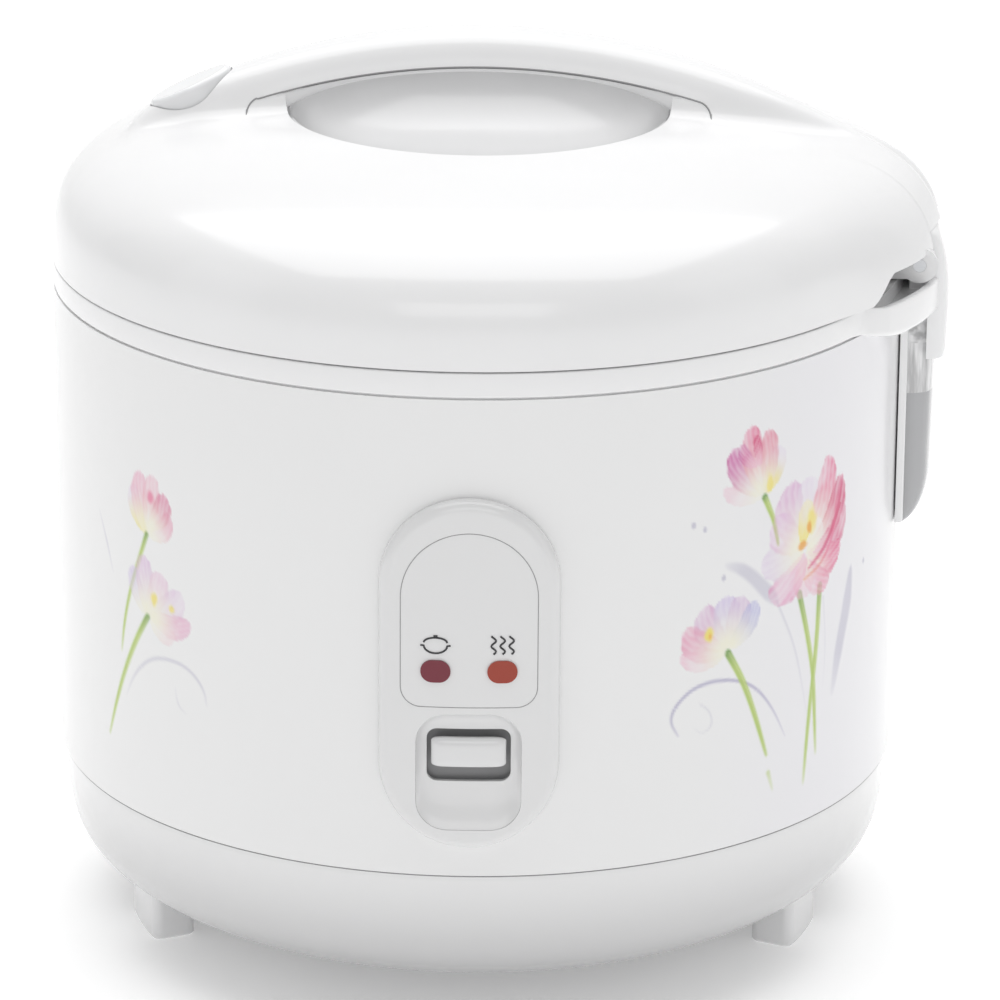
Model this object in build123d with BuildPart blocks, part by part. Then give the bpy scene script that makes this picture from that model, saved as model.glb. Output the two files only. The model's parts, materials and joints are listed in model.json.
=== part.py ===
from build123d import *
from math import cos, pi, radians, sin, sqrt
import os

# Electric rice cooker with a hinged lid. Millimetres, +Z up. The origin is on the table, on the axis
# of the cooking pan. The control panel faces -Y, the lid's hinge is at +X and its release button at -X.

# ---- outer body ----
SHELL_R = 131.0
SHELL_WALL = 0.8
FOOT_HEIGHT = 8.0
BASE_TOP_Z = 57.2
BASE_TOP_R = 129.3
BASE_FLOOR_R = 66.9
BASE_WALL = 2.4
BASE_PLAN_POWER = 1.47
BASE_DROP_POWER = 3.9
SHELL_TOP_Z = 205.1
SEAM_GAP = 0.5
FRAME_TOP_Z = 213.1

# ---- lid ----
LID_WALL = 2.6
LID_BOTTOM_Z = FRAME_TOP_Z + SEAM_GAP
CROWN_HEIGHT = 48.0
DOME_PLAN_POWER = 2.2
DOME_RISE_POWER = 3.7
HANDLE_TOP_Z = 282.8
HANDLE_ARC_R = 216.0
HANDLE_DEPTH = 11.3
HANDLE_COVER = 1.6
HANDLE_HALF_WIDTH = 13.0
HANDLE_LEFT_X = -101.0
HANDLE_RIGHT_X = 109.0
BOWL_R = 60.0
BOWL_FLOOR_Z = 236.0
BOWL_LIP_Z = 257.4
BOWL_WALL = 2.0

# ---- hinge ----
HINGE_X = 134.0
HINGE_Z = 218.0
HINGE_PIN_R = 2.0
RUNNING_GAP = 0.05
KNUCKLE_R = 9.5
KNUCKLE_HALF = 24.5
LUG_R = 5.5
LUG_NEAR_Y = 25.5
LUG_FAR_Y = 32.0
SHELF_CENTRE_X = 54.5
SHELF_R = 88.5
SHELF_TOP_Z = 212.0
SHELF_BOTTOM_Z = 201.0
HUMP_HEIGHT = 36.8
HUMP_EDGE_Z = 221.5
SWING_CLEAR_R = 11.2

# ---- cooking pan and heating ----
PAN_R = 109.2
PAN_WALL = 1.2
PAN_FLANGE_R = 117.0
PAN_FLANGE_Z = 209.3
HEATER_TOP_Z = 82.0
HEATER_THICK = 10.0
HEATER_R = 90.0
ELEMENT_RING_R = 65.0
ELEMENT_TUBE_R = 3.4
LINER_R = 112.0
LINER_WALL = 0.8
LINER_FLOOR_Z = 66.0
SHIELD_Z = 59.0
SHIELD_WALL = 0.8
SENSOR_R = 17.5

# ---- switch mechanism ----
KNOB_TRAVEL = 4.4
LEVER_PIVOT_Y = -45.0
LEVER_Z = 40.0
LEVER_THICK = 3.0
LEVER_WIDTH = 8.0
ROD_Y = -118.5
ROD_THICK = 3.0
ROD_WIDTH = 6.0
ROD_GAP = 0.6

# ---- control panel ----
PANEL_R = 135.2
PANEL_WIDTH = 53.0
PANEL_BOTTOM_Z = 67.8
PANEL_TOP_Z = 175.8
RECESS_FLOOR_R = 132.2
LABEL_WIDTH = 40.0
LABEL_BOTTOM_Z = 112.4
LABEL_TOP_Z = 166.3
LABEL_DEPTH = 0.7
LAMP_X = 9.75
LAMP_Z = 123.8
LAMP_LENGTH = 8.8
LAMP_HEIGHT = 6.8
KNOB_WIDTH = 22.0
KNOB_BOTTOM_Z = 93.3
KNOB_TOP_Z = 102.7

# ---- mains inlet ----
INLET_Z = 40.0
INLET_FACE_Y = 128.5
INLET_WIDTH = 31.0
INLET_HEIGHT = 21.0
INLET_DEPTH = 27.0
SOCKET_WIDTH = 24.0
SOCKET_HEIGHT = 16.4
SOCKET_DEPTH = 18.0

# ---- dew collector ----
CUP_CENTRE_X = 59.25
CUP_R = 81.75
CUP_INNER_R = 133.0
CUP_TOP_Z = 200.4
CUP_BOTTOM_Z = 133.0
CUP_WALL = 1.5
CUP_HALF = 22.0

PROFILE_STEPS = 14


def superellipse(width, height, width_power, height_power):
    """Points from the top of the axis (0, height) round to the rim (width, 0)."""
    points = []
    for step in range(PROFILE_STEPS + 1):
        angle = pi / 2 * step / PROFILE_STEPS
        across = width * max(sin(angle), 0.0) ** (2 / width_power)
        up = height * max(cos(angle), 0.0) ** (2 / height_power)
        points.append((across, up))
    points[-1] = (width, 0.0)
    return points


def dome_solid(inset):
    """The lid's dome as a full solid, its surface lying inset inside the outer one."""
    outline = superellipse(SHELL_R - inset, CROWN_HEIGHT - inset, DOME_PLAN_POWER, DOME_RISE_POWER)
    with BuildPart() as dome:
        with BuildSketch(Plane.XZ):
            with BuildLine():
                crown = Spline(*[(r, FRAME_TOP_Z + z) for r, z in outline], tangents=[(1, 0), (0, -1)])
                Polyline(crown @ 1, (0, FRAME_TOP_Z), crown @ 0)
            make_face()
        revolve(axis=Axis.Z)
    return dome.part


def hump_solid(inset):
    """The bulge of the lid over its hinge, a low dome about an axis nearer the hinge."""
    outline = superellipse(SHELF_R - inset, HUMP_HEIGHT - inset, 6.0, 2.0)
    with BuildPart() as hump:
        with BuildSketch(Plane.XZ):
            with BuildLine():
                crown = Spline(*[(r, FRAME_TOP_Z + z) for r, z in outline], tangents=[(1, 0), (0, -1)])
                Polyline(crown @ 1, (0, FRAME_TOP_Z), crown @ 0)
            make_face()
        revolve(axis=Axis.Z)
    return Pos(SHELF_CENTRE_X, 0, 0) * hump.part


def bar_solid(top_drop, bottom_drop, half_width, left_x, right_x):
    """A strip of the handle between two arcs that lie below its top line."""
    arc_centre_z = HANDLE_TOP_Z - HANDLE_ARC_R

    def arc_point(x, drop):
        return (x, arc_centre_z + sqrt((HANDLE_ARC_R - drop) ** 2 - x**2))

    with BuildPart() as bar:
        with BuildSketch(Plane.XZ):
            with BuildLine():
                top = ThreePointArc(arc_point(left_x, top_drop), arc_point(0, top_drop), arc_point(right_x, top_drop))
                if bottom_drop:
                    low = ThreePointArc(
                        arc_point(left_x, bottom_drop), arc_point(0, bottom_drop), arc_point(right_x, bottom_drop)
                    )
                    Line(top @ 0, low @ 0)
                    Line(top @ 1, low @ 1)
                else:
                    Polyline(top @ 0, (left_x, FRAME_TOP_Z), (right_x, FRAME_TOP_Z), top @ 1)
            make_face()
        extrude(amount=half_width, both=True)
    return bar.part


def base_solid(inset):
    """The rounded lower body as a full solid, its surface lying inset inside the outer one."""
    drop = BASE_TOP_Z - FOOT_HEIGHT - inset
    corner = superellipse(BASE_TOP_R - BASE_FLOOR_R, drop, BASE_PLAN_POWER, BASE_DROP_POWER)
    floor_r = BASE_FLOOR_R - inset
    with BuildPart() as base:
        with BuildSketch(Plane.XZ):
            with BuildLine():
                side = Spline(*[(floor_r + r, BASE_TOP_Z - z) for r, z in corner], tangents=[(1, 0), (0, 1)])
                Polyline(side @ 0, (0, BASE_TOP_Z - drop), (0, BASE_TOP_Z), side @ 1)
            make_face()
        revolve(axis=Axis.Z)
    return base.part


def ring_band(inner_r, outer_r, bottom_z, top_z):
    """A plain ring about the pan's axis, or a full disc when the inner radius is 0."""
    with BuildPart() as band:
        with BuildSketch(Plane.XY.offset(bottom_z)):
            Circle(outer_r)
            if inner_r:
                Circle(inner_r, mode=Mode.SUBTRACT)
        extrude(amount=top_z - bottom_z)
    return band.part


os.makedirs("parts", exist_ok=True)

# ======== lower body ========

base_outside = base_solid(0)
base_inside = base_solid(BASE_WALL)
VENT_OPENING_R = 60.0
TONGUE_TOP_Z = 62.0
with BuildPart() as bottom_housing:
    add(base_outside)
    add(base_inside, mode=Mode.SUBTRACT)
    with BuildSketch(Plane.XY.offset(BASE_TOP_Z)):
        Circle(BASE_TOP_R)
        Circle(BASE_TOP_R - BASE_WALL, mode=Mode.SUBTRACT)
    extrude(amount=TONGUE_TOP_Z - BASE_TOP_Z)
    with BuildSketch(Plane.XY.offset(FOOT_HEIGHT)):
        Circle(VENT_OPENING_R)
    extrude(amount=2 * BASE_WALL, mode=Mode.SUBTRACT)
    with BuildSketch(Plane.XZ.offset(-INLET_FACE_Y)):
        with Locations((0, INLET_Z)):
            Rectangle(INLET_WIDTH, INLET_HEIGHT)
    extrude(amount=INLET_DEPTH, mode=Mode.SUBTRACT)
bottom_housing.part.label = "bottom_housing"
export_step(bottom_housing.part, "parts/bottom_housing.step")

PLATE_R = 63.5
PLATE_WALL = 1.2
PLATE_Z = FOOT_HEIGHT + BASE_WALL
STANDOFF_RING_R = 52.0
SCREW_R = 1.9
with BuildPart() as bottom_plate:
    with BuildSketch(Plane.XY.offset(PLATE_Z)):
        Circle(PLATE_R)
        with PolarLocations(STANDOFF_RING_R, 4, start_angle=45):
            Circle(SCREW_R, mode=Mode.SUBTRACT)
        with PolarLocations(30, 12, start_angle=15):
            SlotOverall(22, 4, mode=Mode.SUBTRACT)
    extrude(amount=PLATE_WALL)
bottom_plate.part.label = "bottom_plate"
export_step(bottom_plate.part, "parts/bottom_plate.step")

FOOT_INNER_R = 96.0
FOOT_OUTER_R = 110.0
FOOT_NEAR_ANGLE = 11.0
FOOT_FAR_ANGLE = 25.5
FOOT_TOP_Z = 20.0


def foot_solid(side_x, side_y):
    """One arc-shaped foot, reaching up to the rounded underside of the housing."""
    def at(radius, angle):
        return (side_x * radius * cos(radians(angle)), side_y * radius * sin(radians(angle)))

    middle = (FOOT_NEAR_ANGLE + FOOT_FAR_ANGLE) / 2
    with BuildPart() as foot:
        with BuildSketch():
            with BuildLine():
                outer = ThreePointArc(
                    at(FOOT_OUTER_R, FOOT_NEAR_ANGLE), at(FOOT_OUTER_R, middle), at(FOOT_OUTER_R, FOOT_FAR_ANGLE)
                )
                inner = ThreePointArc(
                    at(FOOT_INNER_R, FOOT_NEAR_ANGLE), at(FOOT_INNER_R, middle), at(FOOT_INNER_R, FOOT_FAR_ANGLE)
                )
                Line(outer @ 0, inner @ 0)
                Line(outer @ 1, inner @ 1)
            make_face()
        extrude(amount=FOOT_TOP_Z)
        fillet(foot.edges().filter_by(Axis.Z), radius=3.0)
        chamfer(foot.faces().sort_by(Axis.Z)[0].edges(), length=0.8)
        add(base_outside, mode=Mode.SUBTRACT)
    return foot


for side_name, side_x in (("left", -1), ("right", 1)):
    for end_name, side_y in (("front", -1), ("rear", 1)):
        foot = foot_solid(side_x, side_y)
        foot.part.label = f"foot_{end_name}_{side_name}"
        export_step(foot.part, f"parts/foot_{end_name}_{side_name}.step")

PLATE_TOP_Z = PLATE_Z + PLATE_WALL
HEATER_BOTTOM_Z = HEATER_TOP_Z - HEATER_THICK
with BuildPart() as standoffs:
    with BuildSketch(Plane.XY.offset(PLATE_TOP_Z)):
        with PolarLocations(STANDOFF_RING_R, 4, start_angle=45):
            Circle(3.5)
            Circle(1.5, mode=Mode.SUBTRACT)
    extrude(amount=HEATER_BOTTOM_Z - PLATE_TOP_Z)
standoffs.part.label = "standoffs"
export_step(standoffs.part, "parts/standoffs.step")

SCREW_HEAD = 2.0
with BuildPart() as bottom_screws:
    with BuildSketch(Plane.XY.offset(PLATE_Z)):
        with PolarLocations(STANDOFF_RING_R, 4, start_angle=45):
            Circle(1.5)
    extrude(amount=10)
    with BuildSketch(Plane.XY.offset(PLATE_Z - SCREW_HEAD)):
        with PolarLocations(STANDOFF_RING_R, 4, start_angle=45):
            Circle(3.4)
    extrude(amount=SCREW_HEAD)
    with BuildSketch(Plane.XY.offset(PLATE_Z - SCREW_HEAD)):
        with PolarLocations(STANDOFF_RING_R, 4, start_angle=45):
            Rectangle(4.2, 0.9)
            Rectangle(0.9, 4.2)
    extrude(amount=1.1, mode=Mode.SUBTRACT)
bottom_screws.part.label = "bottom_screws"
export_step(bottom_screws.part, "parts/bottom_screws.step")

# ======== outer shell and upper frame ========

SHELL_BOTTOM_Z = BASE_TOP_Z + SEAM_GAP
NECK_SLOT_WIDTH = 12.0
with BuildPart() as outer_shell:
    with BuildSketch(Plane.XY.offset(SHELL_BOTTOM_Z)):
        Circle(SHELL_R)
        Circle(SHELL_R - SHELL_WALL, mode=Mode.SUBTRACT)
    extrude(amount=SHELL_TOP_Z - SHELL_BOTTOM_Z)
    with BuildSketch(Plane.XZ):
        with Locations((0, (KNOB_BOTTOM_Z + KNOB_TOP_Z - KNOB_TRAVEL) / 2)):
            Rectangle(NECK_SLOT_WIDTH, KNOB_TOP_Z - KNOB_BOTTOM_Z + KNOB_TRAVEL)
        with Locations((-LAMP_X, LAMP_Z), (LAMP_X, LAMP_Z)):
            Circle(LAMP_HEIGHT / 2)
    extrude(amount=2 * SHELL_R, mode=Mode.SUBTRACT)
outer_shell.part.label = "outer_shell"
export_step(outer_shell.part, "parts/outer_shell.step")

BAND_BOTTOM_Z = SHELL_TOP_Z + SEAM_GAP
LEDGE_BOTTOM_Z = PAN_FLANGE_Z - 2.0
LEDGE_R = 118.6
FRAME_WALL = 2.5
SHELF_FLOOR_Z = 208.6
with BuildPart() as shelf:
    with BuildSketch(Plane.XY.offset(SHELF_BOTTOM_Z)):
        with Locations((SHELF_CENTRE_X, 0)):
            Circle(SHELF_R)
        Circle(SHELL_R + SEAM_GAP, mode=Mode.SUBTRACT)
        with Locations((-SHELL_R, 0)):
            Rectangle(3 * SHELL_R, 3 * SHELL_R, mode=Mode.SUBTRACT)
    extrude(amount=SHELF_TOP_Z - SHELF_BOTTOM_Z)
    with BuildSketch(Plane.XY.offset(BAND_BOTTOM_Z)):
        with Locations((SHELF_CENTRE_X, 0)):
            Circle(SHELF_R)
        Circle(SHELL_R - 1, mode=Mode.SUBTRACT)
        with Locations((-SHELL_R, 0)):
            Rectangle(3 * SHELL_R, 3 * SHELL_R, mode=Mode.SUBTRACT)
    extrude(amount=SHELF_TOP_Z - BAND_BOTTOM_Z)
    with BuildSketch(Plane.XY.offset(SHELF_FLOOR_Z)):
        with Locations((SHELF_CENTRE_X, 0)):
            Circle(SHELF_R - 2.2)
        Circle(SHELL_R + 0.4, mode=Mode.SUBTRACT)
    extrude(amount=SHELF_TOP_Z, mode=Mode.SUBTRACT)
LATCH_X = -124.3
LATCH_TRAVEL = 2.5
LATCH_SLOT_LENGTH = 7.5
LATCH_SLOT_WIDTH = 18.0
with BuildPart() as upper_frame:
    with BuildSketch(Plane.XZ):
        with BuildLine():
            Polyline(
                (SHELL_R, BAND_BOTTOM_Z),
                (SHELL_R, FRAME_TOP_Z),
                (LEDGE_R, FRAME_TOP_Z),
                (LEDGE_R, PAN_FLANGE_Z),
                (LINER_R + LINER_WALL, PAN_FLANGE_Z),
                (LINER_R + LINER_WALL, LEDGE_BOTTOM_Z),
                (LEDGE_R + 2, LEDGE_BOTTOM_Z),
                (LEDGE_R + 2, FRAME_TOP_Z - FRAME_WALL),
                (SHELL_R - FRAME_WALL, FRAME_TOP_Z - FRAME_WALL),
                (SHELL_R - FRAME_WALL, SHELL_TOP_Z - 6),
                (SHELL_R - SHELL_WALL, SHELL_TOP_Z - 6),
                (SHELL_R - SHELL_WALL, BAND_BOTTOM_Z),
                close=True,
            )
        make_face()
    revolve(axis=Axis.Z)
    with BuildSketch(Plane.XY.offset(LEDGE_BOTTOM_Z)):
        with Locations((LATCH_X + LATCH_TRAVEL / 2, 0)):
            Rectangle(LATCH_SLOT_LENGTH, LATCH_SLOT_WIDTH)
    extrude(amount=FRAME_WALL + 8, mode=Mode.SUBTRACT)
    add(shelf.part)
upper_frame.part.label = "upper_frame"
export_step(upper_frame.part, "parts/upper_frame.step")

# ======== hinge on the body ========

RIB_X = 143.1
RIB_THICK = 1.4
RIB_BOTTOM_Z = 186.0
SPRING_BAY_HALF = 16.0
SPRING_BAY_R = 7.0
HINGE_SPRING_HALF = 14.0
HINGE_SPRING_R = 5.5
HINGE_SPRING_BORE_R = 3.5
with BuildPart() as hinge_cover:
    with BuildSketch(Plane.XZ.offset(-KNUCKLE_HALF)):
        with Locations((HINGE_X, HINGE_Z)):
            Circle(KNUCKLE_R)
        with BuildLine():
            Polyline(
                (HINGE_X - KNUCKLE_R, HINGE_Z),
                (HINGE_X - KNUCKLE_R, FRAME_TOP_Z),
                (SHELL_R + 0.4, FRAME_TOP_Z),
                (SHELL_R + 0.4, SHELF_FLOOR_Z),
                (RIB_X + RIB_THICK, SHELF_FLOOR_Z),
                (RIB_X + RIB_THICK, HINGE_Z),
                close=True,
            )
        make_face()
    extrude(amount=2 * KNUCKLE_HALF)
    with BuildSketch(Plane.XZ.offset(-KNUCKLE_HALF)):
        with Locations((RIB_X + RIB_THICK / 2, (RIB_BOTTOM_Z + HINGE_Z) / 2)):
            Rectangle(RIB_THICK, HINGE_Z - RIB_BOTTOM_Z)
    extrude(amount=2 * KNUCKLE_HALF)
    add(shelf.part, mode=Mode.SUBTRACT)
    with BuildSketch(Plane.XY.offset(SHELF_FLOOR_Z - 1)):
        Circle(SHELL_R + 0.4)
    extrude(amount=FRAME_TOP_Z - SHELF_FLOOR_Z + 1, mode=Mode.SUBTRACT)
    with BuildSketch(Plane.XZ.offset(-LUG_FAR_Y)):
        with Locations((HINGE_X, HINGE_Z)):
            Circle(HINGE_PIN_R)
    extrude(amount=2 * LUG_FAR_Y, mode=Mode.SUBTRACT)
    with BuildSketch(Plane.XZ.offset(-SPRING_BAY_HALF)):
        with Locations((HINGE_X, HINGE_Z)):
            Circle(SPRING_BAY_R)
    extrude(amount=2 * SPRING_BAY_HALF, mode=Mode.SUBTRACT)
hinge_cover.part.label = "hinge_cover"
export_step(hinge_cover.part, "parts/hinge_cover.step")

with BuildPart() as hinge_pin:
    with BuildSketch(Plane.XZ.offset(-LUG_FAR_Y)):
        with Locations((HINGE_X, HINGE_Z)):
            Circle(HINGE_PIN_R)
    extrude(amount=2 * LUG_FAR_Y)
hinge_pin.part.label = "hinge_pin"
export_step(hinge_pin.part, "parts/hinge_pin.step")

with BuildPart() as hinge_spring:
    with BuildSketch(Plane.XZ.offset(-HINGE_SPRING_HALF)):
        with Locations((HINGE_X, HINGE_Z)):
            Circle(HINGE_SPRING_R)
            Circle(HINGE_SPRING_BORE_R, mode=Mode.SUBTRACT)
    extrude(amount=2 * HINGE_SPRING_HALF)
hinge_spring.part.label = "hinge_spring"
export_step(hinge_spring.part, "parts/hinge_spring.step")

# ======== dew collector and its mount ========

MOUNT_R = SHELL_R + 1.6
MOUNT_HALF = 26.0
MOUNT_BOTTOM_Z = 136.0
MOUNT_TOP_Z = 200.6
RAIL_NEAR_Y = 22.6
RAIL_WIDTH = 2.0
RAIL_DEPTH = 10.8
RAIL_X = SHELL_R - 4.0
rail_y = RAIL_NEAR_Y + RAIL_WIDTH / 2
with BuildPart() as collector_mount:
    with BuildSketch(Plane.XY.offset(MOUNT_BOTTOM_Z)):
        Circle(MOUNT_R)
        Circle(SHELL_R, mode=Mode.SUBTRACT)
        with Locations((SHELL_R, 0)):
            Rectangle(SHELL_R, 2 * MOUNT_HALF, mode=Mode.INTERSECT)
    extrude(amount=MOUNT_TOP_Z - MOUNT_BOTTOM_Z)
    with BuildSketch(Plane.XY.offset(MOUNT_BOTTOM_Z)):
        with Locations((RAIL_X, rail_y), (RAIL_X, -rail_y)):
            Rectangle(RAIL_DEPTH, RAIL_WIDTH)
        Circle(SHELL_R, mode=Mode.SUBTRACT)
    extrude(amount=MOUNT_TOP_Z - MOUNT_BOTTOM_Z)
collector_mount.part.label = "collector_mount"
export_step(collector_mount.part, "parts/collector_mount.step")

with BuildPart() as dew_collector:
    with BuildSketch(Plane.XY.offset(CUP_BOTTOM_Z)):
        with Locations((CUP_CENTRE_X, 0)):
            Circle(CUP_R)
        Circle(CUP_INNER_R, mode=Mode.SUBTRACT)
        with Locations((SHELL_R, 0)):
            Rectangle(SHELL_R, 2 * CUP_HALF, mode=Mode.INTERSECT)
    extrude(amount=CUP_TOP_Z - CUP_BOTTOM_Z)
    with BuildSketch(Plane.XY.offset(CUP_BOTTOM_Z + CUP_WALL)):
        with Locations((CUP_CENTRE_X, 0)):
            Circle(CUP_R - CUP_WALL)
        Circle(CUP_INNER_R + CUP_WALL - 0.1, mode=Mode.SUBTRACT)
        with Locations((SHELL_R, 0)):
            Rectangle(SHELL_R, 2 * CUP_HALF - 2 * CUP_WALL, mode=Mode.INTERSECT)
    extrude(amount=CUP_TOP_Z - CUP_BOTTOM_Z, mode=Mode.SUBTRACT)
dew_collector.part.label = "dew_collector"
export_step(dew_collector.part, "parts/dew_collector.step")

# ======== liner, heater and pan ========

LINER_FLOOR_R = 96.0
LINER_TOP_Z = LEDGE_BOTTOM_Z
with BuildPart() as inner_liner:
    with BuildSketch(Plane.XY.offset(LINER_FLOOR_Z)):
        Circle(LINER_R + LINER_WALL)
        Circle(LINER_FLOOR_R, mode=Mode.SUBTRACT)
    extrude(amount=LINER_TOP_Z - LINER_FLOOR_Z)
    with BuildSketch(Plane.XY.offset(LINER_FLOOR_Z + LINER_WALL)):
        Circle(LINER_R)
    extrude(amount=LINER_TOP_Z, mode=Mode.SUBTRACT)
    with BuildSketch(Plane.XY.offset(LINER_TOP_Z - LINER_WALL)):
        Circle(LEDGE_R)
        Circle(LINER_R, mode=Mode.SUBTRACT)
    extrude(amount=LINER_WALL)
inner_liner.part.label = "inner_liner"
export_step(inner_liner.part, "parts/inner_liner.step")

BAND_HEATER_Z = 120.0
BAND_HEATER_HEIGHT = 40.0
BAND_HEATER_THICK = 1.2
with BuildPart() as heater_band:
    with BuildSketch(Plane.XY.offset(BAND_HEATER_Z)):
        Circle(LINER_R + LINER_WALL + BAND_HEATER_THICK)
        Circle(LINER_R + LINER_WALL, mode=Mode.SUBTRACT)
    extrude(amount=BAND_HEATER_HEIGHT)
heater_band.part.label = "heater_band"
export_step(heater_band.part, "parts/heater_band.step")

GROOVE_GAP = 0.1
GROOVE_DEPTH = 5.5
HEATER_EDGE_R = 1.5
SENSOR_HOLE_R = SENSOR_R + 1.0
with BuildPart() as heater_plate:
    with BuildSketch(Plane.XY.offset(HEATER_BOTTOM_Z)):
        Circle(HEATER_R)
        Circle(SENSOR_HOLE_R, mode=Mode.SUBTRACT)
    extrude(amount=HEATER_THICK)
    with BuildSketch(Plane.XY.offset(HEATER_BOTTOM_Z)):
        Circle(ELEMENT_RING_R + ELEMENT_TUBE_R + GROOVE_GAP)
        Circle(ELEMENT_RING_R - ELEMENT_TUBE_R - GROOVE_GAP, mode=Mode.SUBTRACT)
    extrude(amount=GROOVE_DEPTH, mode=Mode.SUBTRACT)
    fillet(heater_plate.faces().sort_by(Axis.Z)[-1].edges(), radius=HEATER_EDGE_R)
heater_plate.part.label = "heater_plate"
export_step(heater_plate.part, "parts/heater_plate.step")

ELEMENT_Z = HEATER_BOTTOM_Z + 2.0
ELEMENT_ARC = 340
TERMINAL_R = ELEMENT_TUBE_R - 1.2
TERMINAL_LENGTH = 11.0
with BuildPart() as heater_element:
    with BuildSketch(Plane.XZ):
        with Locations((ELEMENT_RING_R, ELEMENT_Z)):
            Circle(ELEMENT_TUBE_R)
    revolve(axis=Axis.Z, revolution_arc=ELEMENT_ARC)
    with BuildSketch(Plane.XY.offset(ELEMENT_Z - TERMINAL_LENGTH)):
        with PolarLocations(ELEMENT_RING_R, 2, angular_range=ELEMENT_ARC, endpoint=True):
            Circle(TERMINAL_R)
    extrude(amount=TERMINAL_LENGTH)
heater_element.part.label = "heater_element"
export_step(heater_element.part, "parts/heater_element.step")

SHIELD_R = LINER_FLOOR_R + 8.0
SHIELD_HOLE_R = 10.0
STANDOFF_HOLE_R = 3.7
TERMINAL_HOLE_R = 6.0
with BuildPart() as heat_shield:
    with BuildSketch(Plane.XY.offset(SHIELD_Z)):
        Circle(SHIELD_R)
        Circle(SHIELD_HOLE_R, mode=Mode.SUBTRACT)
        with PolarLocations(STANDOFF_RING_R, 4, start_angle=45):
            Circle(STANDOFF_HOLE_R, mode=Mode.SUBTRACT)
        with PolarLocations(ELEMENT_RING_R, 2, angular_range=ELEMENT_ARC, endpoint=True):
            Circle(TERMINAL_HOLE_R, mode=Mode.SUBTRACT)
    extrude(amount=SHIELD_WALL)
    with BuildSketch(Plane.XY.offset(SHIELD_Z)):
        Circle(SHIELD_R)
        Circle(SHIELD_R - SHIELD_WALL, mode=Mode.SUBTRACT)
    extrude(amount=LINER_FLOOR_Z - SHIELD_Z)
heat_shield.part.label = "heat_shield"
export_step(heat_shield.part, "parts/heat_shield.step")

PAN_CORNER_R = 26.0
with BuildPart() as inner_pan:
    with BuildSketch(Plane.XZ) as pan_section:
        with BuildLine():
            Polyline(
                (0, HEATER_TOP_Z),
                (PAN_R, HEATER_TOP_Z),
                (PAN_R, PAN_FLANGE_Z),
                (PAN_FLANGE_R, PAN_FLANGE_Z),
                (PAN_FLANGE_R, PAN_FLANGE_Z + PAN_WALL),
                (PAN_R - PAN_WALL, PAN_FLANGE_Z + PAN_WALL),
                (PAN_R - PAN_WALL, HEATER_TOP_Z + PAN_WALL),
                (0, HEATER_TOP_Z + PAN_WALL),
                close=True,
            )
        make_face()
        outer_corner = pan_section.vertices().sort_by_distance((PAN_R, HEATER_TOP_Z))[0]
        fillet(outer_corner, radius=PAN_CORNER_R)
        inner_corner = pan_section.vertices().sort_by_distance((PAN_R - PAN_WALL, HEATER_TOP_Z + PAN_WALL))[0]
        fillet(inner_corner, radius=PAN_CORNER_R - PAN_WALL)
    revolve(axis=Axis.Z)
inner_pan.part.label = "inner_pan"
export_step(inner_pan.part, "parts/inner_pan.step")

# ======== thermal sensor, magnet and cook lever ========

SENSOR_TOP_Z = HEATER_TOP_Z - 0.3
SENSOR_BOTTOM_Z = 68.0
SENSOR_WALL = 1.0
SENSOR_ROOF = 1.2
SENSOR_EDGE_R = 1.5
MAGNET_R = 7.2
MAGNET_HEIGHT = 6.0
with BuildPart() as sensor_cup:
    with BuildSketch(Plane.XY.offset(SENSOR_BOTTOM_Z)):
        Circle(SENSOR_R)
    extrude(amount=SENSOR_TOP_Z - SENSOR_BOTTOM_Z)
    fillet(sensor_cup.faces().sort_by(Axis.Z)[-1].edges(), radius=SENSOR_EDGE_R)
    with BuildSketch(Plane.XY.offset(SENSOR_BOTTOM_Z)):
        Circle(SENSOR_R - SENSOR_WALL)
    extrude(amount=SENSOR_TOP_Z - SENSOR_BOTTOM_Z - SENSOR_ROOF, mode=Mode.SUBTRACT)
    with BuildSketch(Plane.XY.offset(SENSOR_TOP_Z - SENSOR_WALL - MAGNET_HEIGHT)):
        Circle(MAGNET_R)
    extrude(amount=MAGNET_HEIGHT)
sensor_cup.part.label = "sensor_cup"
export_step(sensor_cup.part, "parts/sensor_cup.step")

SHIELD_TOP_Z = SHIELD_Z + SHIELD_WALL
SENSOR_SPRING_R = 14.0
SENSOR_SPRING_WIRE = 1.6
with BuildPart() as sensor_spring:
    with BuildSketch(Plane.XY.offset(SHIELD_TOP_Z)):
        Circle(SENSOR_SPRING_R)
        Circle(SENSOR_SPRING_R - SENSOR_SPRING_WIRE, mode=Mode.SUBTRACT)
    extrude(amount=SENSOR_TOP_Z - SENSOR_ROOF - SHIELD_TOP_Z)
sensor_spring.part.label = "sensor_spring"
export_step(sensor_spring.part, "parts/sensor_spring.step")

GUIDE_R = 9.6
GUIDE_BORE_R = 8.2
GUIDE_BOTTOM_Z = 46.0
GUIDE_TOP_Z = 70.0
GUIDE_FLANGE_R = 16.0
GUIDE_FLANGE = 1.2
with BuildPart() as magnet_guide:
    with BuildSketch(Plane.XY.offset(GUIDE_BOTTOM_Z)):
        Circle(GUIDE_R)
    extrude(amount=GUIDE_TOP_Z - GUIDE_BOTTOM_Z)
    with BuildSketch(Plane.XY.offset(SHIELD_Z - GUIDE_FLANGE)):
        Circle(GUIDE_FLANGE_R)
    extrude(amount=GUIDE_FLANGE)
    with BuildSketch(Plane.XY.offset(GUIDE_BOTTOM_Z)):
        Circle(GUIDE_BORE_R)
    extrude(amount=GUIDE_TOP_Z - GUIDE_BOTTOM_Z, mode=Mode.SUBTRACT)
magnet_guide.part.label = "magnet_guide"
export_step(magnet_guide.part, "parts/magnet_guide.step")

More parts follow.
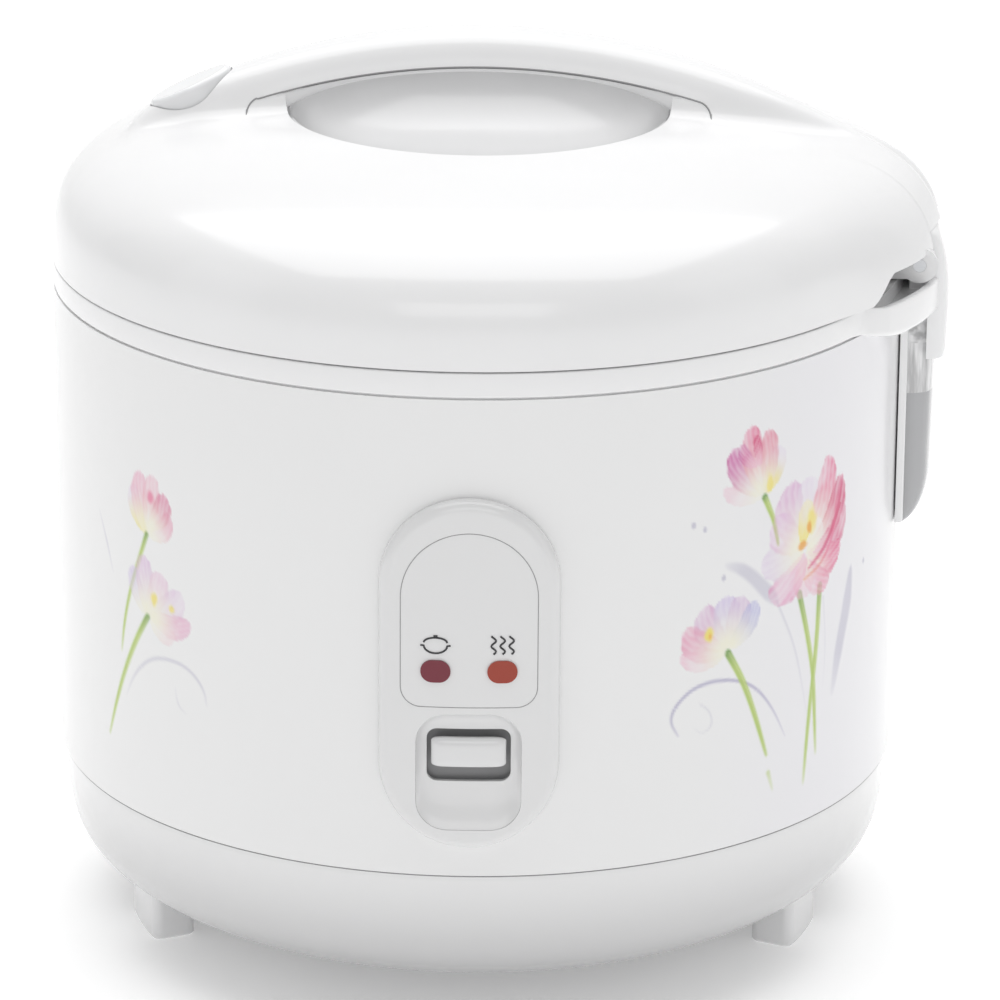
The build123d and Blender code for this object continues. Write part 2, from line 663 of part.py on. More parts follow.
LEVER_TOP_Z = LEVER_Z + LEVER_THICK / 2
LEVER_LOW_Z = LEVER_Z - LEVER_THICK / 2
PLUNGER_BOTTOM_Z = 30.0
PLUNGER_HEAD_Z = 60.0
PLUNGER_HEAD_R = 7.8
PLUNGER_HEAD_HEIGHT = 8.0
PLUNGER_ROD_R = 2.2
COLLAR_R = 5.5
COLLAR_PLAY = 1.2
COLLAR_THICK = 1.6
with BuildPart() as magnet_plunger:
    with BuildSketch(Plane.XY.offset(PLUNGER_BOTTOM_Z)):
        Circle(PLUNGER_ROD_R)
    extrude(amount=PLUNGER_HEAD_Z - PLUNGER_BOTTOM_Z)
    with BuildSketch(Plane.XY.offset(PLUNGER_BOTTOM_Z)):
        Circle(COLLAR_R)
    extrude(amount=LEVER_LOW_Z - COLLAR_PLAY - PLUNGER_BOTTOM_Z)
    with BuildSketch(Plane.XY.offset(LEVER_TOP_Z + COLLAR_PLAY)):
        Circle(COLLAR_R)
    extrude(amount=COLLAR_THICK)
    with BuildSketch(Plane.XY.offset(PLUNGER_HEAD_Z)):
        Circle(PLUNGER_HEAD_R)
    extrude(amount=PLUNGER_HEAD_HEIGHT)
magnet_plunger.part.label = "magnet_plunger"
export_step(magnet_plunger.part, "parts/magnet_plunger.step")

RELEASE_SPRING_R = 6.4
RELEASE_SPRING_WIRE = 1.4
RELEASE_SPRING_Z = 48.0
RELEASE_SPRING_HEIGHT = 11.6
with BuildPart() as release_spring:
    with BuildSketch(Plane.XY.offset(RELEASE_SPRING_Z)):
        Circle(RELEASE_SPRING_R)
        Circle(RELEASE_SPRING_R - RELEASE_SPRING_WIRE, mode=Mode.SUBTRACT)
    extrude(amount=RELEASE_SPRING_HEIGHT)
release_spring.part.label = "release_spring"
export_step(release_spring.part, "parts/release_spring.step")

LEVER_END_Y = -121.0
LEVER_TIP_Y = 6.0
HUB_R = 5.0
HUB_HALF = 6.4
YOKE_R = 7.0
YOKE_GAP = 5.6
with BuildPart() as cook_lever:
    with BuildSketch(Plane.XY.offset(LEVER_LOW_Z)):
        with Locations((0, (LEVER_END_Y + LEVER_TIP_Y) / 2)):
            Rectangle(LEVER_WIDTH, LEVER_TIP_Y - LEVER_END_Y)
        with Locations((0, LEVER_TIP_Y / 2)):
            Circle(YOKE_R)
            Rectangle(YOKE_GAP, 2 * LEVER_TIP_Y + HUB_R, mode=Mode.SUBTRACT)
    extrude(amount=LEVER_THICK)
    with BuildSketch(Plane.YZ.offset(-HUB_HALF)):
        with Locations((LEVER_PIVOT_Y, LEVER_Z)):
            Circle(HUB_R)
    extrude(amount=2 * HUB_HALF)
    with BuildSketch(Plane.YZ.offset(-HUB_HALF)):
        with Locations((LEVER_PIVOT_Y, LEVER_Z)):
            Circle(HINGE_PIN_R + RUNNING_GAP)
    extrude(amount=2 * HUB_HALF, mode=Mode.SUBTRACT)
cook_lever.part.label = "cook_lever"
export_step(cook_lever.part, "parts/cook_lever.step")

EAR_X = 7.2
EAR_WALL = 1.4
EAR_WIDTH = 14.0
EAR_RISE = 6.0
PIN_HALF = 10.0
with BuildPart() as lever_bracket:
    with BuildSketch(Plane.XY.offset(PLATE_TOP_Z)):
        with Locations((0, LEVER_PIVOT_Y)):
            Rectangle(2 * (EAR_X + EAR_WALL), EAR_WIDTH)
    extrude(amount=EAR_WALL)
    with BuildSketch(Plane.XY.offset(PLATE_TOP_Z)):
        with Locations((EAR_X + EAR_WALL / 2, LEVER_PIVOT_Y), (-EAR_X - EAR_WALL / 2, LEVER_PIVOT_Y)):
            Rectangle(EAR_WALL, EAR_WIDTH)
    extrude(amount=LEVER_Z + EAR_RISE - PLATE_TOP_Z)
    with BuildSketch(Plane.YZ.offset(-PIN_HALF)):
        with Locations((LEVER_PIVOT_Y, LEVER_Z)):
            Circle(HINGE_PIN_R)
    extrude(amount=2 * PIN_HALF, mode=Mode.SUBTRACT)
lever_bracket.part.label = "lever_bracket"
export_step(lever_bracket.part, "parts/lever_bracket.step")

with BuildPart() as lever_pin:
    with BuildSketch(Plane.YZ.offset(-PIN_HALF)):
        with Locations((LEVER_PIVOT_Y, LEVER_Z)):
            Circle(HINGE_PIN_R)
    extrude(amount=2 * PIN_HALF)
lever_pin.part.label = "lever_pin"
export_step(lever_pin.part, "parts/lever_pin.step")

SWITCH_Y = -84.0
SWITCH_WIDTH = 12.0
SWITCH_LENGTH = 20.0
SWITCH_HEIGHT = 20.0
SWITCH_TIP_Y = -88.0
SWITCH_TIP_R = 1.6
SWITCH_TIP_HEIGHT = 3.2
with BuildPart() as micro_switch:
    with BuildSketch(Plane.XY.offset(PLATE_Z)):
        with Locations((0, SWITCH_Y)):
            Rectangle(SWITCH_WIDTH, SWITCH_LENGTH)
    extrude(amount=SWITCH_HEIGHT)
    add(base_inside, mode=Mode.INTERSECT)
    with BuildSketch(Plane.XY.offset(PLATE_Z + SWITCH_HEIGHT)):
        with Locations((0, SWITCH_TIP_Y)):
            Circle(SWITCH_TIP_R)
    extrude(amount=SWITCH_TIP_HEIGHT)
micro_switch.part.label = "micro_switch"
export_step(micro_switch.part, "parts/micro_switch.step")

# ======== control panel ========

PANEL_MIDDLE_Z = (PANEL_BOTTOM_Z + PANEL_TOP_Z) / 2
SLOT_TOP_Z = 104.9
SLOT_BOTTOM_Z = 88.6
SLOT_WIDTH = 24.6
RECESS_TOP_Z = 110.5
RECESS_BOTTOM_Z = 74.1
RECESS_WIDTH = 31.0
RECESS_CORNER_R = 9.0
SLOT_CORNER_R = 3.0
BEZEL_EDGE_R = 1.6
CUT_PAST = 10.0
with BuildPart() as bezel_blank:
    with BuildSketch(Plane.XY.offset(PANEL_BOTTOM_Z)):
        Circle(PANEL_R)
        Circle(SHELL_R, mode=Mode.SUBTRACT)
    extrude(amount=PANEL_TOP_Z - PANEL_BOTTOM_Z)
    with BuildSketch(Plane.XZ):
        with Locations((0, PANEL_MIDDLE_Z)):
            SlotOverall(PANEL_TOP_Z - PANEL_BOTTOM_Z, PANEL_WIDTH, rotation=90)
    extrude(amount=PANEL_R + CUT_PAST, mode=Mode.INTERSECT)
    fillet(bezel_blank.faces().filter_by(GeomType.CYLINDER).sort_by(SortBy.AREA)[-1].edges(), radius=BEZEL_EDGE_R)
recess_cut = ring_band(RECESS_FLOOR_R, PANEL_R + CUT_PAST, RECESS_BOTTOM_Z, RECESS_TOP_Z)
label_cut = ring_band(PANEL_R - LABEL_DEPTH, PANEL_R + CUT_PAST, LABEL_BOTTOM_Z, LABEL_TOP_Z)


def front_prism(outline_name):
    """A prism running out towards -Y whose section is the window of that name."""
    with BuildPart() as prism:
        with BuildSketch(Plane.XZ):
            if outline_name == "recess":
                with Locations((0, (RECESS_TOP_Z + RECESS_BOTTOM_Z) / 2)):
                    RectangleRounded(RECESS_WIDTH, RECESS_TOP_Z - RECESS_BOTTOM_Z, RECESS_CORNER_R)
            elif outline_name == "label":
                with Locations((0, LABEL_TOP_Z - LABEL_WIDTH / 2)):
                    Circle(LABEL_WIDTH / 2)
                label_straight = LABEL_TOP_Z - LABEL_WIDTH / 2 - LABEL_BOTTOM_Z
                with Locations((0, LABEL_BOTTOM_Z + label_straight / 2)):
                    Rectangle(LABEL_WIDTH, label_straight)
            elif outline_name == "slot":
                with Locations((0, (SLOT_TOP_Z + SLOT_BOTTOM_Z) / 2)):
                    RectangleRounded(SLOT_WIDTH, SLOT_TOP_Z - SLOT_BOTTOM_Z, SLOT_CORNER_R)
            else:
                with Locations((-LAMP_X, LAMP_Z), (LAMP_X, LAMP_Z)):
                    SlotOverall(LAMP_LENGTH, LAMP_HEIGHT)
        extrude(amount=PANEL_R + CUT_PAST)
    return prism.part


recess_prism = front_prism("recess") & recess_cut
label_prism = front_prism("label") & label_cut
slot_prism = front_prism("slot")
lamp_prism = front_prism("lamps")
with BuildPart() as bezel_cut:
    add(recess_prism)
    add(label_prism)
    add(slot_prism)
    add(lamp_prism)
with BuildPart() as control_bezel:
    add(bezel_blank.part)
    add(bezel_cut.part, mode=Mode.SUBTRACT)
control_bezel.part.label = "control_bezel"
export_step(control_bezel.part, "parts/control_bezel.step")

with BuildPart() as label_plate:
    add(label_prism)
    add(ring_band(PANEL_R, PANEL_R + CUT_PAST, LABEL_BOTTOM_Z - 1, LABEL_TOP_Z + 1), mode=Mode.SUBTRACT)
    add(lamp_prism, mode=Mode.SUBTRACT)
label_plate.part.label = "label_plate"
export_step(label_plate.part, "parts/label_plate.step")

LENS_PROUD = 0.5
LENS_BACK_R = SHELL_R + 0.1
lens_ring = ring_band(LENS_BACK_R, PANEL_R + LENS_PROUD, LAMP_Z - LAMP_HEIGHT, LAMP_Z + LAMP_HEIGHT)
lens_pair = (lamp_prism & lens_ring).solids().sort_by(Axis.X)
for lens_name, lens_solid in (("cook_lens", lens_pair[0]), ("warm_lens", lens_pair[-1])):
    with BuildPart() as lens:
        add(lens_solid)
    lens.part.label = lens_name
    export_step(lens.part, f"parts/{lens_name}.step")

BOARD_BACK_Y = -118.0
BOARD_THICK = 1.6
BOARD_WIDTH = 34.0
BOARD_HEIGHT = 22.0
LAMP_R = 2.5
LAMP_RISE = 7.5
LAMP_TIP_R = 1.5
with BuildPart() as lamp_board:
    with BuildSketch(Plane.XZ.offset(-BOARD_BACK_Y)):
        with Locations((0, LAMP_Z)):
            Rectangle(BOARD_WIDTH, BOARD_HEIGHT)
    extrude(amount=BOARD_THICK)
lamp_board.part.label = "lamp_board"
export_step(lamp_board.part, "parts/lamp_board.step")

for lamp_name, lamp_x in (("cook_lamp", -LAMP_X), ("warm_lamp", LAMP_X)):
    with BuildPart() as lamp:
        with BuildSketch(Plane.XZ.offset(-BOARD_BACK_Y + BOARD_THICK)):
            with Locations((lamp_x, LAMP_Z)):
                Circle(LAMP_R)
        extrude(amount=LAMP_RISE)
        fillet(lamp.faces().sort_by(Axis.Y)[0].edges(), radius=LAMP_TIP_R)
    lamp.part.label = lamp_name
    export_step(lamp.part, f"parts/{lamp_name}.step")

KNOB_BACK_R = RECESS_FLOOR_R + 0.4
KNOB_FRONT_R = PANEL_R - 0.3
knob_ring = ring_band(KNOB_BACK_R, KNOB_FRONT_R, KNOB_BOTTOM_Z, KNOB_TOP_Z)
KNOB_MIDDLE_Z = (KNOB_BOTTOM_Z + KNOB_TOP_Z) / 2
KNOB_CORNER_R = 2.0
KNOB_EDGE_R = 1.0
STALK_WIDTH = 8.0
STALK_HEIGHT = 6.0
with BuildPart() as knob_front:
    with BuildSketch(Plane.XZ):
        with Locations((0, KNOB_MIDDLE_Z)):
            RectangleRounded(KNOB_WIDTH, KNOB_TOP_Z - KNOB_BOTTOM_Z, KNOB_CORNER_R)
    extrude(amount=PANEL_R + CUT_PAST)
knob_face = knob_front.part & knob_ring
with BuildPart() as switch_knob:
    add(knob_face)
    fillet(switch_knob.faces().filter_by(GeomType.CYLINDER).sort_by(SortBy.AREA)[-1].edges(), radius=KNOB_EDGE_R)
    with BuildSketch(Plane.XZ.offset(-ROD_Y + ROD_THICK / 2)):
        with Locations((0, KNOB_MIDDLE_Z)):
            Rectangle(STALK_WIDTH, STALK_HEIGHT)
    extrude(amount=KNOB_BACK_R + 1 + ROD_Y - ROD_THICK / 2)
switch_knob.part.label = "switch_knob"
export_step(switch_knob.part, "parts/switch_knob.step")

with BuildPart() as push_rod:
    with BuildSketch(Plane.XY.offset(LEVER_TOP_Z + ROD_GAP)):
        with Locations((0, ROD_Y)):
            Rectangle(ROD_WIDTH, ROD_THICK)
    extrude(amount=KNOB_MIDDLE_Z + STALK_WIDTH / 2 - LEVER_TOP_Z - ROD_GAP)
push_rod.part.label = "push_rod"
export_step(push_rod.part, "parts/push_rod.step")

# ======== mains inlet and wiring ========

INLET_BACK_Y = INLET_FACE_Y - INLET_DEPTH
INLET_CORNER_R = 2.0
SOCKET_CORNER_R = 3.0
PIN_WIDTH = 2.0
PIN_HEIGHT = 4.0
PIN_END_Y = INLET_FACE_Y - 4.0
PIN_LENGTH = 29.0
PIN_PLACES = (("live", -7.0, -1.0), ("neutral", 7.0, -1.0), ("earth", 0.0, 3.0))
with BuildPart() as inlet_housing:
    with BuildSketch(Plane.XZ.offset(-INLET_BACK_Y)):
        with Locations((0, INLET_Z)):
            RectangleRounded(INLET_WIDTH, INLET_HEIGHT, INLET_CORNER_R)
    extrude(amount=-INLET_DEPTH)
    with BuildSketch(Plane.XZ.offset(-INLET_FACE_Y)):
        with Locations((0, INLET_Z)):
            RectangleRounded(SOCKET_WIDTH, SOCKET_HEIGHT, SOCKET_CORNER_R)
    extrude(amount=SOCKET_DEPTH, mode=Mode.SUBTRACT)
    with BuildSketch(Plane.XZ.offset(-INLET_FACE_Y)):
        with Locations(*[(pin_x, INLET_Z + pin_z) for name, pin_x, pin_z in PIN_PLACES]):
            Rectangle(PIN_WIDTH, PIN_HEIGHT)
    extrude(amount=INLET_DEPTH, mode=Mode.SUBTRACT)
inlet_housing.part.label = "inlet_housing"
export_step(inlet_housing.part, "parts/inlet_housing.step")

for pin_name, pin_x, pin_z in PIN_PLACES:
    with BuildPart() as inlet_pin:
        with BuildSketch(Plane.XZ.offset(-PIN_END_Y)):
            with Locations((pin_x, INLET_Z + pin_z)):
                Rectangle(PIN_WIDTH, PIN_HEIGHT)
        extrude(amount=PIN_LENGTH)
    inlet_pin.part.label = f"inlet_pin_{pin_name}"
    export_step(inlet_pin.part, f"parts/inlet_pin_{pin_name}.step")

BLOCK_Y = 44.0
BLOCK_LENGTH = 36.0
BLOCK_WIDTH = 16.0
BLOCK_HEIGHT = 14.0
BLOCK_HOLE_R = 2.6
BLOCK_HOLE_PITCH = 11.0
BLOCK_HOLE_DEPTH = 9.0
with BuildPart() as terminal_block:
    with BuildSketch(Plane.XY.offset(PLATE_TOP_Z)):
        with Locations((0, BLOCK_Y)):
            Rectangle(BLOCK_LENGTH, BLOCK_WIDTH)
    extrude(amount=BLOCK_HEIGHT)
    with BuildSketch(Plane.XY.offset(PLATE_TOP_Z + BLOCK_HEIGHT)):
        with GridLocations(BLOCK_HOLE_PITCH, 0, 3, 1):
            with Locations((0, BLOCK_Y)):
                Circle(BLOCK_HOLE_R)
    extrude(amount=-BLOCK_HOLE_DEPTH, mode=Mode.SUBTRACT)
terminal_block.part.label = "terminal_block"
export_step(terminal_block.part, "parts/terminal_block.step")

FUSE_R = 2.2
FUSE_PLACE = 24.0
FUSE_LENGTH = 16.0
with BuildPart() as thermal_fuse:
    with BuildSketch(Plane.YZ.offset(FUSE_PLACE)):
        with Locations((FUSE_PLACE, SHIELD_Z - FUSE_R)):
            Circle(FUSE_R)
    extrude(amount=FUSE_LENGTH)
thermal_fuse.part.label = "thermal_fuse"
export_step(thermal_fuse.part, "parts/thermal_fuse.step")

# ======== lid ========

VENT_X = 8.0
VENT_Y = 79.0
VENT_R = 14.0
BUTTON_ANGLE = 25.5
BUTTON_X = -88.2
BUTTON_Z = 263.4
BUTTON_LENGTH = 27.0
BUTTON_WIDTH = 17.0
button_plane = Plane(
    origin=(BUTTON_X, 0, BUTTON_Z),
    x_dir=(cos(radians(BUTTON_ANGLE)), 0, sin(radians(BUTTON_ANGLE))),
    z_dir=(-sin(radians(BUTTON_ANGLE)), 0, cos(radians(BUTTON_ANGLE))),
)
BUTTON_GAP = 0.45

dome_outside = dome_solid(0)
dome_inside = dome_solid(LID_WALL)
hump_outside = hump_solid(0)
hump_inside = hump_solid(LID_WALL)
lid_foot = ring_band(0, 2 * SHELL_R, FRAME_TOP_Z - 1, LID_BOTTOM_Z)
ridge_length = HANDLE_RIGHT_X - HANDLE_LEFT_X
with BuildPart() as ridge_plan:
    with BuildSketch(Plane.XY.offset(BOWL_FLOOR_Z)):
        with Locations(((HANDLE_LEFT_X + HANDLE_RIGHT_X) / 2, 0)):
            Ellipse(ridge_length / 2 + 2, HANDLE_HALF_WIDTH + 1)
    extrude(amount=HANDLE_TOP_Z)
ridge_full = bar_solid(0, 0, HANDLE_HALF_WIDTH + 2, HANDLE_LEFT_X, HANDLE_RIGHT_X) & ridge_plan.part
with BuildPart() as core_plan:
    with BuildSketch(Plane.XY.offset(BOWL_FLOOR_Z)):
        with Locations(((HANDLE_LEFT_X + HANDLE_RIGHT_X) / 2, 0)):
            Ellipse(ridge_length / 2 - 5, HANDLE_HALF_WIDTH + 1 - LID_WALL)
    extrude(amount=HANDLE_TOP_Z)
ridge_core = bar_solid(LID_WALL, 0, HANDLE_HALF_WIDTH, HANDLE_LEFT_X, HANDLE_RIGHT_X) & core_plan.part
GRIP_HALF = 60.0
under_bar = bar_solid(HANDLE_DEPTH - HANDLE_COVER, 0, 3 * HANDLE_HALF_WIDTH, -GRIP_HALF, GRIP_HALF)
with BuildPart() as ridge:
    add(ridge_full)
    add(under_bar, mode=Mode.SUBTRACT)
with BuildPart() as handle_underside:
    add(bar_solid(HANDLE_DEPTH - HANDLE_COVER, HANDLE_DEPTH, HANDLE_HALF_WIDTH, -GRIP_HALF + 2, GRIP_HALF - 2))
    add(ridge_plan.part, mode=Mode.INTERSECT)
handle_underside.part.label = "handle_underside"
export_step(handle_underside.part, "parts/handle_underside.step")

WINDOW_X = 104.0
WINDOW_LOW_Y = 61.0
WINDOW_HIGH_Y = 53.0
SIDE_PLAY = 0.7
LUG_PLAY = 0.3
with BuildPart() as hinge_window:
    with BuildSketch(Plane.YZ.offset(WINDOW_X)):
        with BuildLine():
            Polyline(
                (-WINDOW_LOW_Y, LID_BOTTOM_Z - 1),
                (WINDOW_LOW_Y, LID_BOTTOM_Z - 1),
                (WINDOW_HIGH_Y, HUMP_EDGE_Z),
                (-WINDOW_HIGH_Y, HUMP_EDGE_Z),
                close=True,
            )
        make_face()
    extrude(amount=SHELL_R)
    with BuildSketch(Plane.XZ.offset(-KNUCKLE_HALF - SIDE_PLAY)):
        with Locations((HINGE_X, HINGE_Z)):
            Circle(SWING_CLEAR_R)
    extrude(amount=2 * KNUCKLE_HALF + 2 * SIDE_PLAY)
    with BuildSketch(Plane.XZ.offset(-LUG_FAR_Y - LUG_PLAY)):
        with Locations((HINGE_X, HINGE_Z)):
            Circle(LUG_R + LUG_PLAY)
    extrude(amount=2 * LUG_FAR_Y + 2 * LUG_PLAY)
with BuildPart() as button_hole:
    with BuildSketch(button_plane):
        Ellipse(BUTTON_LENGTH / 2 + BUTTON_GAP, BUTTON_WIDTH / 2 + BUTTON_GAP)
    extrude(amount=BUTTON_WIDTH, both=True)
with BuildPart() as outer_lid:
    add(dome_outside)
    add(hump_outside)
    with BuildSketch(Plane.XY.offset(BOWL_FLOOR_Z)):
        Circle(BOWL_R)
    extrude(amount=HANDLE_TOP_Z - BOWL_FLOOR_Z, mode=Mode.SUBTRACT)
    add(ridge.part)
    add(dome_inside, mode=Mode.SUBTRACT)
    add(hump_inside, mode=Mode.SUBTRACT)
    add(ridge_core, mode=Mode.SUBTRACT)
    add(lid_foot, mode=Mode.SUBTRACT)
    add(hinge_window.part, mode=Mode.SUBTRACT)
    add(button_hole.part, mode=Mode.SUBTRACT)
    with BuildSketch(Plane.XY.offset(BOWL_FLOOR_Z)):
        with Locations((VENT_X, VENT_Y)):
            Circle(VENT_R + BUTTON_GAP)
    extrude(amount=HANDLE_TOP_Z - BOWL_FLOOR_Z, mode=Mode.SUBTRACT)
outer_lid.part.label = "outer_lid"
export_step(outer_lid.part, "parts/outer_lid.step")

BOWL_PLAN_POWER = 3.4
BOWL_DROP_POWER = 2.2
BOWL_FIT = 0.1
bowl_drop = BOWL_LIP_Z - BOWL_FLOOR_Z
bowl_outline = superellipse(BOWL_R - BOWL_FIT, bowl_drop + BOWL_WALL, BOWL_PLAN_POWER, BOWL_DROP_POWER)
bowl_hollow = superellipse(BOWL_R - BOWL_FIT - BOWL_WALL, bowl_drop, BOWL_PLAN_POWER, BOWL_DROP_POWER)
with BuildPart() as grip_bowl:
    with BuildSketch(Plane.XZ):
        with BuildLine():
            under = Spline(*[(r, BOWL_LIP_Z - z) for r, z in bowl_outline], tangents=[(1, 0), (0, 1)])
            above = Spline(*[(r, BOWL_LIP_Z - z) for r, z in bowl_hollow], tangents=[(1, 0), (0, 1)])
            Line(under @ 0, above @ 0)
            Line(under @ 1, above @ 1)
        make_face()
    revolve(axis=Axis.Z)
grip_bowl.part.label = "grip_bowl"
export_step(grip_bowl.part, "parts/grip_bowl.step")

LID_PLATE_Z = 216.0
LID_FRAME_R = 127.6
VENT_BORE_R = 9.0
FRAME_PLATE = 2.4
FRAME_RING_R = 117.6
LATCH_WINDOW_LENGTH = 12.0
LATCH_WINDOW_WIDTH = 20.0
ARM_LENGTH = 20.0
ARM_HEIGHT = 7.0
with BuildPart() as lid_frame:
    with BuildSketch(Plane.XY.offset(LID_PLATE_Z)):
        Circle(LID_FRAME_R)
        with Locations((VENT_X, VENT_Y)):
            Circle(VENT_BORE_R, mode=Mode.SUBTRACT)
        with Locations((LATCH_X, 0)):
            Rectangle(LATCH_WINDOW_LENGTH, LATCH_WINDOW_WIDTH, mode=Mode.SUBTRACT)
    extrude(amount=FRAME_PLATE)
    with BuildSketch(Plane.XY.offset(LID_BOTTOM_Z + 0.2)):
        Circle(LID_FRAME_R)
        Circle(FRAME_RING_R, mode=Mode.SUBTRACT)
        with Locations((LATCH_X, 0)):
            Rectangle(LATCH_WINDOW_LENGTH, LATCH_WINDOW_WIDTH, mode=Mode.SUBTRACT)
    extrude(amount=LID_PLATE_Z - LID_BOTTOM_Z)
    lug_middle_y = (LUG_NEAR_Y + LUG_FAR_Y) / 2
    with BuildSketch(Plane.XY.offset(LID_BOTTOM_Z + 0.2)):
        with Locations((HINGE_X - ARM_LENGTH / 2, lug_middle_y), (HINGE_X - ARM_LENGTH / 2, -lug_middle_y)):
            Rectangle(ARM_LENGTH, LUG_FAR_Y - LUG_NEAR_Y)
    extrude(amount=ARM_HEIGHT)
    with BuildSketch(Plane.XZ.offset(-LUG_FAR_Y)):
        with Locations((HINGE_X, HINGE_Z)):
            Circle(LUG_R)
    extrude(amount=2 * LUG_FAR_Y)
    with BuildSketch(Plane.XZ.offset(-LUG_NEAR_Y)):
        with Locations((HINGE_X, HINGE_Z)):
            Circle(SWING_CLEAR_R)
        with Locations((HINGE_X, HINGE_Z - SWING_CLEAR_R)):
            Rectangle(2 * SWING_CLEAR_R, 2 * SWING_CLEAR_R)
    extrude(amount=2 * LUG_NEAR_Y, mode=Mode.SUBTRACT)
    with BuildSketch(Plane.XZ.offset(-LUG_FAR_Y)):
        with Locations((HINGE_X, HINGE_Z)):
            Circle(HINGE_PIN_R + RUNNING_GAP)
    extrude(amount=2 * LUG_FAR_Y, mode=Mode.SUBTRACT)
lid_frame.part.label = "lid_frame"
export_step(lid_frame.part, "parts/lid_frame.step")

GASKET_OUTER_R = 116.0
GASKET_INNER_R = 109.4
GASKET_BOTTOM_Z = PAN_FLANGE_Z + PAN_WALL + 0.3
GASKET_LIP_R = 1.5
GASKET_FIT = 1.5
LID_SHEET = 1.0
with BuildPart() as lid_gasket:
    with BuildSketch(Plane.XY.offset(GASKET_BOTTOM_Z)):
        Circle(GASKET_OUTER_R)
        Circle(GASKET_INNER_R, mode=Mode.SUBTRACT)
    extrude(amount=LID_PLATE_Z - GASKET_BOTTOM_Z)
    fillet(lid_gasket.faces().sort_by(Axis.Z)[0].edges(), radius=GASKET_LIP_R)
lid_gasket.part.label = "lid_gasket"
export_step(lid_gasket.part, "parts/lid_gasket.step")

with BuildPart() as lid_plate:
    with BuildSketch(Plane.XY.offset(LID_PLATE_Z - LID_SHEET)):
        Circle(GASKET_INNER_R - GASKET_FIT)
        with Locations((VENT_X, VENT_Y)):
            Circle(VENT_BORE_R, mode=Mode.SUBTRACT)
    extrude(amount=LID_SHEET)
lid_plate.part.label = "lid_plate"
export_step(lid_plate.part, "parts/lid_plate.step")

INNER_LID_Z = 211.4
INNER_LID_R = GASKET_INNER_R - 0.4
INNER_LID_RIM = 1.2
STUD_R = 5.0
STEAM_RING_R = 84.0
STEAM_HOLE_R = 1.6
STEAM_HOLES = 16
with BuildPart() as inner_lid:
    with BuildSketch(Plane.XY.offset(INNER_LID_Z)):
        Circle(INNER_LID_R)
        Circle(STUD_R, mode=Mode.SUBTRACT)
        with PolarLocations(STEAM_RING_R, STEAM_HOLES):
            Circle(STEAM_HOLE_R, mode=Mode.SUBTRACT)
    extrude(amount=LID_SHEET)
    with BuildSketch(Plane.XY.offset(INNER_LID_Z)):
        Circle(INNER_LID_R)
        Circle(INNER_LID_R - INNER_LID_RIM, mode=Mode.SUBTRACT)
    extrude(amount=LID_PLATE_Z - LID_SHEET - 0.4 - INNER_LID_Z)
inner_lid.part.label = "inner_lid"
export_step(inner_lid.part, "parts/inner_lid.step")

GRIP_R = 9.0
GRIP_BOTTOM_Z = 207.0
with BuildPart() as inner_lid_knob:
    with BuildSketch(Plane.XY.offset(GRIP_BOTTOM_Z)):
        Circle(GRIP_R)
    extrude(amount=INNER_LID_Z - GRIP_BOTTOM_Z)
    with BuildSketch(Plane.XY.offset(INNER_LID_Z)):
        Circle(STUD_R)
    extrude(amount=LID_PLATE_Z - LID_SHEET - INNER_LID_Z)
inner_lid_knob.part.label = "inner_lid_knob"
export_step(inner_lid_knob.part, "parts/inner_lid_knob.step")

VENT_PROUD_Z = 259.4
VENT_SEAT_Z = 246.0
VENT_EDGE_R = 1.6
VENT_SLOTS = 3
VENT_SLOT_PITCH = 5.0
VENT_SLOT_LENGTH = 14.0
VENT_SLOT_WIDTH = 2.0
with BuildPart() as steam_vent_cap:
    with BuildSketch(Plane.XY.offset(VENT_SEAT_Z)):
        with Locations((VENT_X, VENT_Y)):
            Circle(VENT_R)
    extrude(amount=VENT_PROUD_Z - VENT_SEAT_Z)
    fillet(steam_vent_cap.faces().sort_by(Axis.Z)[-1].edges(), radius=VENT_EDGE_R)
    with BuildSketch(Plane.XY.offset(VENT_PROUD_Z)):
        with Locations((VENT_X, VENT_Y)):
            with GridLocations(0, VENT_SLOT_PITCH, 1, VENT_SLOTS):
                SlotOverall(VENT_SLOT_LENGTH, VENT_SLOT_WIDTH)
    extrude(amount=-VENT_PROUD_Z + VENT_SEAT_Z, mode=Mode.SUBTRACT)
steam_vent_cap.part.label = "steam_vent_cap"
export_step(steam_vent_cap.part, "parts/steam_vent_cap.step")

GROMMET_WALL = 2.0
with BuildPart() as vent_grommet:
    with BuildSketch(Plane.XY.offset(LID_PLATE_Z - LID_SHEET)):
        with Locations((VENT_X, VENT_Y)):
            Circle(VENT_BORE_R)
            Circle(VENT_BORE_R - GROMMET_WALL, mode=Mode.SUBTRACT)
    extrude(amount=VENT_SEAT_Z - 0.4 - LID_PLATE_Z + LID_SHEET)
vent_grommet.part.label = "vent_grommet"
export_step(vent_grommet.part, "parts/vent_grommet.step")

BUTTON_PROUD = 1.6
BUTTON_BODY = 7.0
STEM_LENGTH = 26.0
STEM_THICK = 3.0
STEM_WIDTH = 8.0
BUTTON_EDGE_R = 1.5
with BuildPart() as release_button:
    with BuildSketch(button_plane.offset(-BUTTON_BODY)):
        Ellipse(BUTTON_LENGTH / 2, BUTTON_WIDTH / 2)
    extrude(amount=BUTTON_BODY + BUTTON_PROUD)
    fillet(release_button.faces().sort_by(Axis.Z)[-1].edges(), radius=BUTTON_EDGE_R)
    with BuildSketch(button_plane.offset(-STEM_LENGTH)):
        Rectangle(STEM_THICK, STEM_WIDTH)
    extrude(amount=STEM_LENGTH - BUTTON_BODY)
release_button.part.label = "release_button"
export_step(release_button.part, "parts/release_button.step")

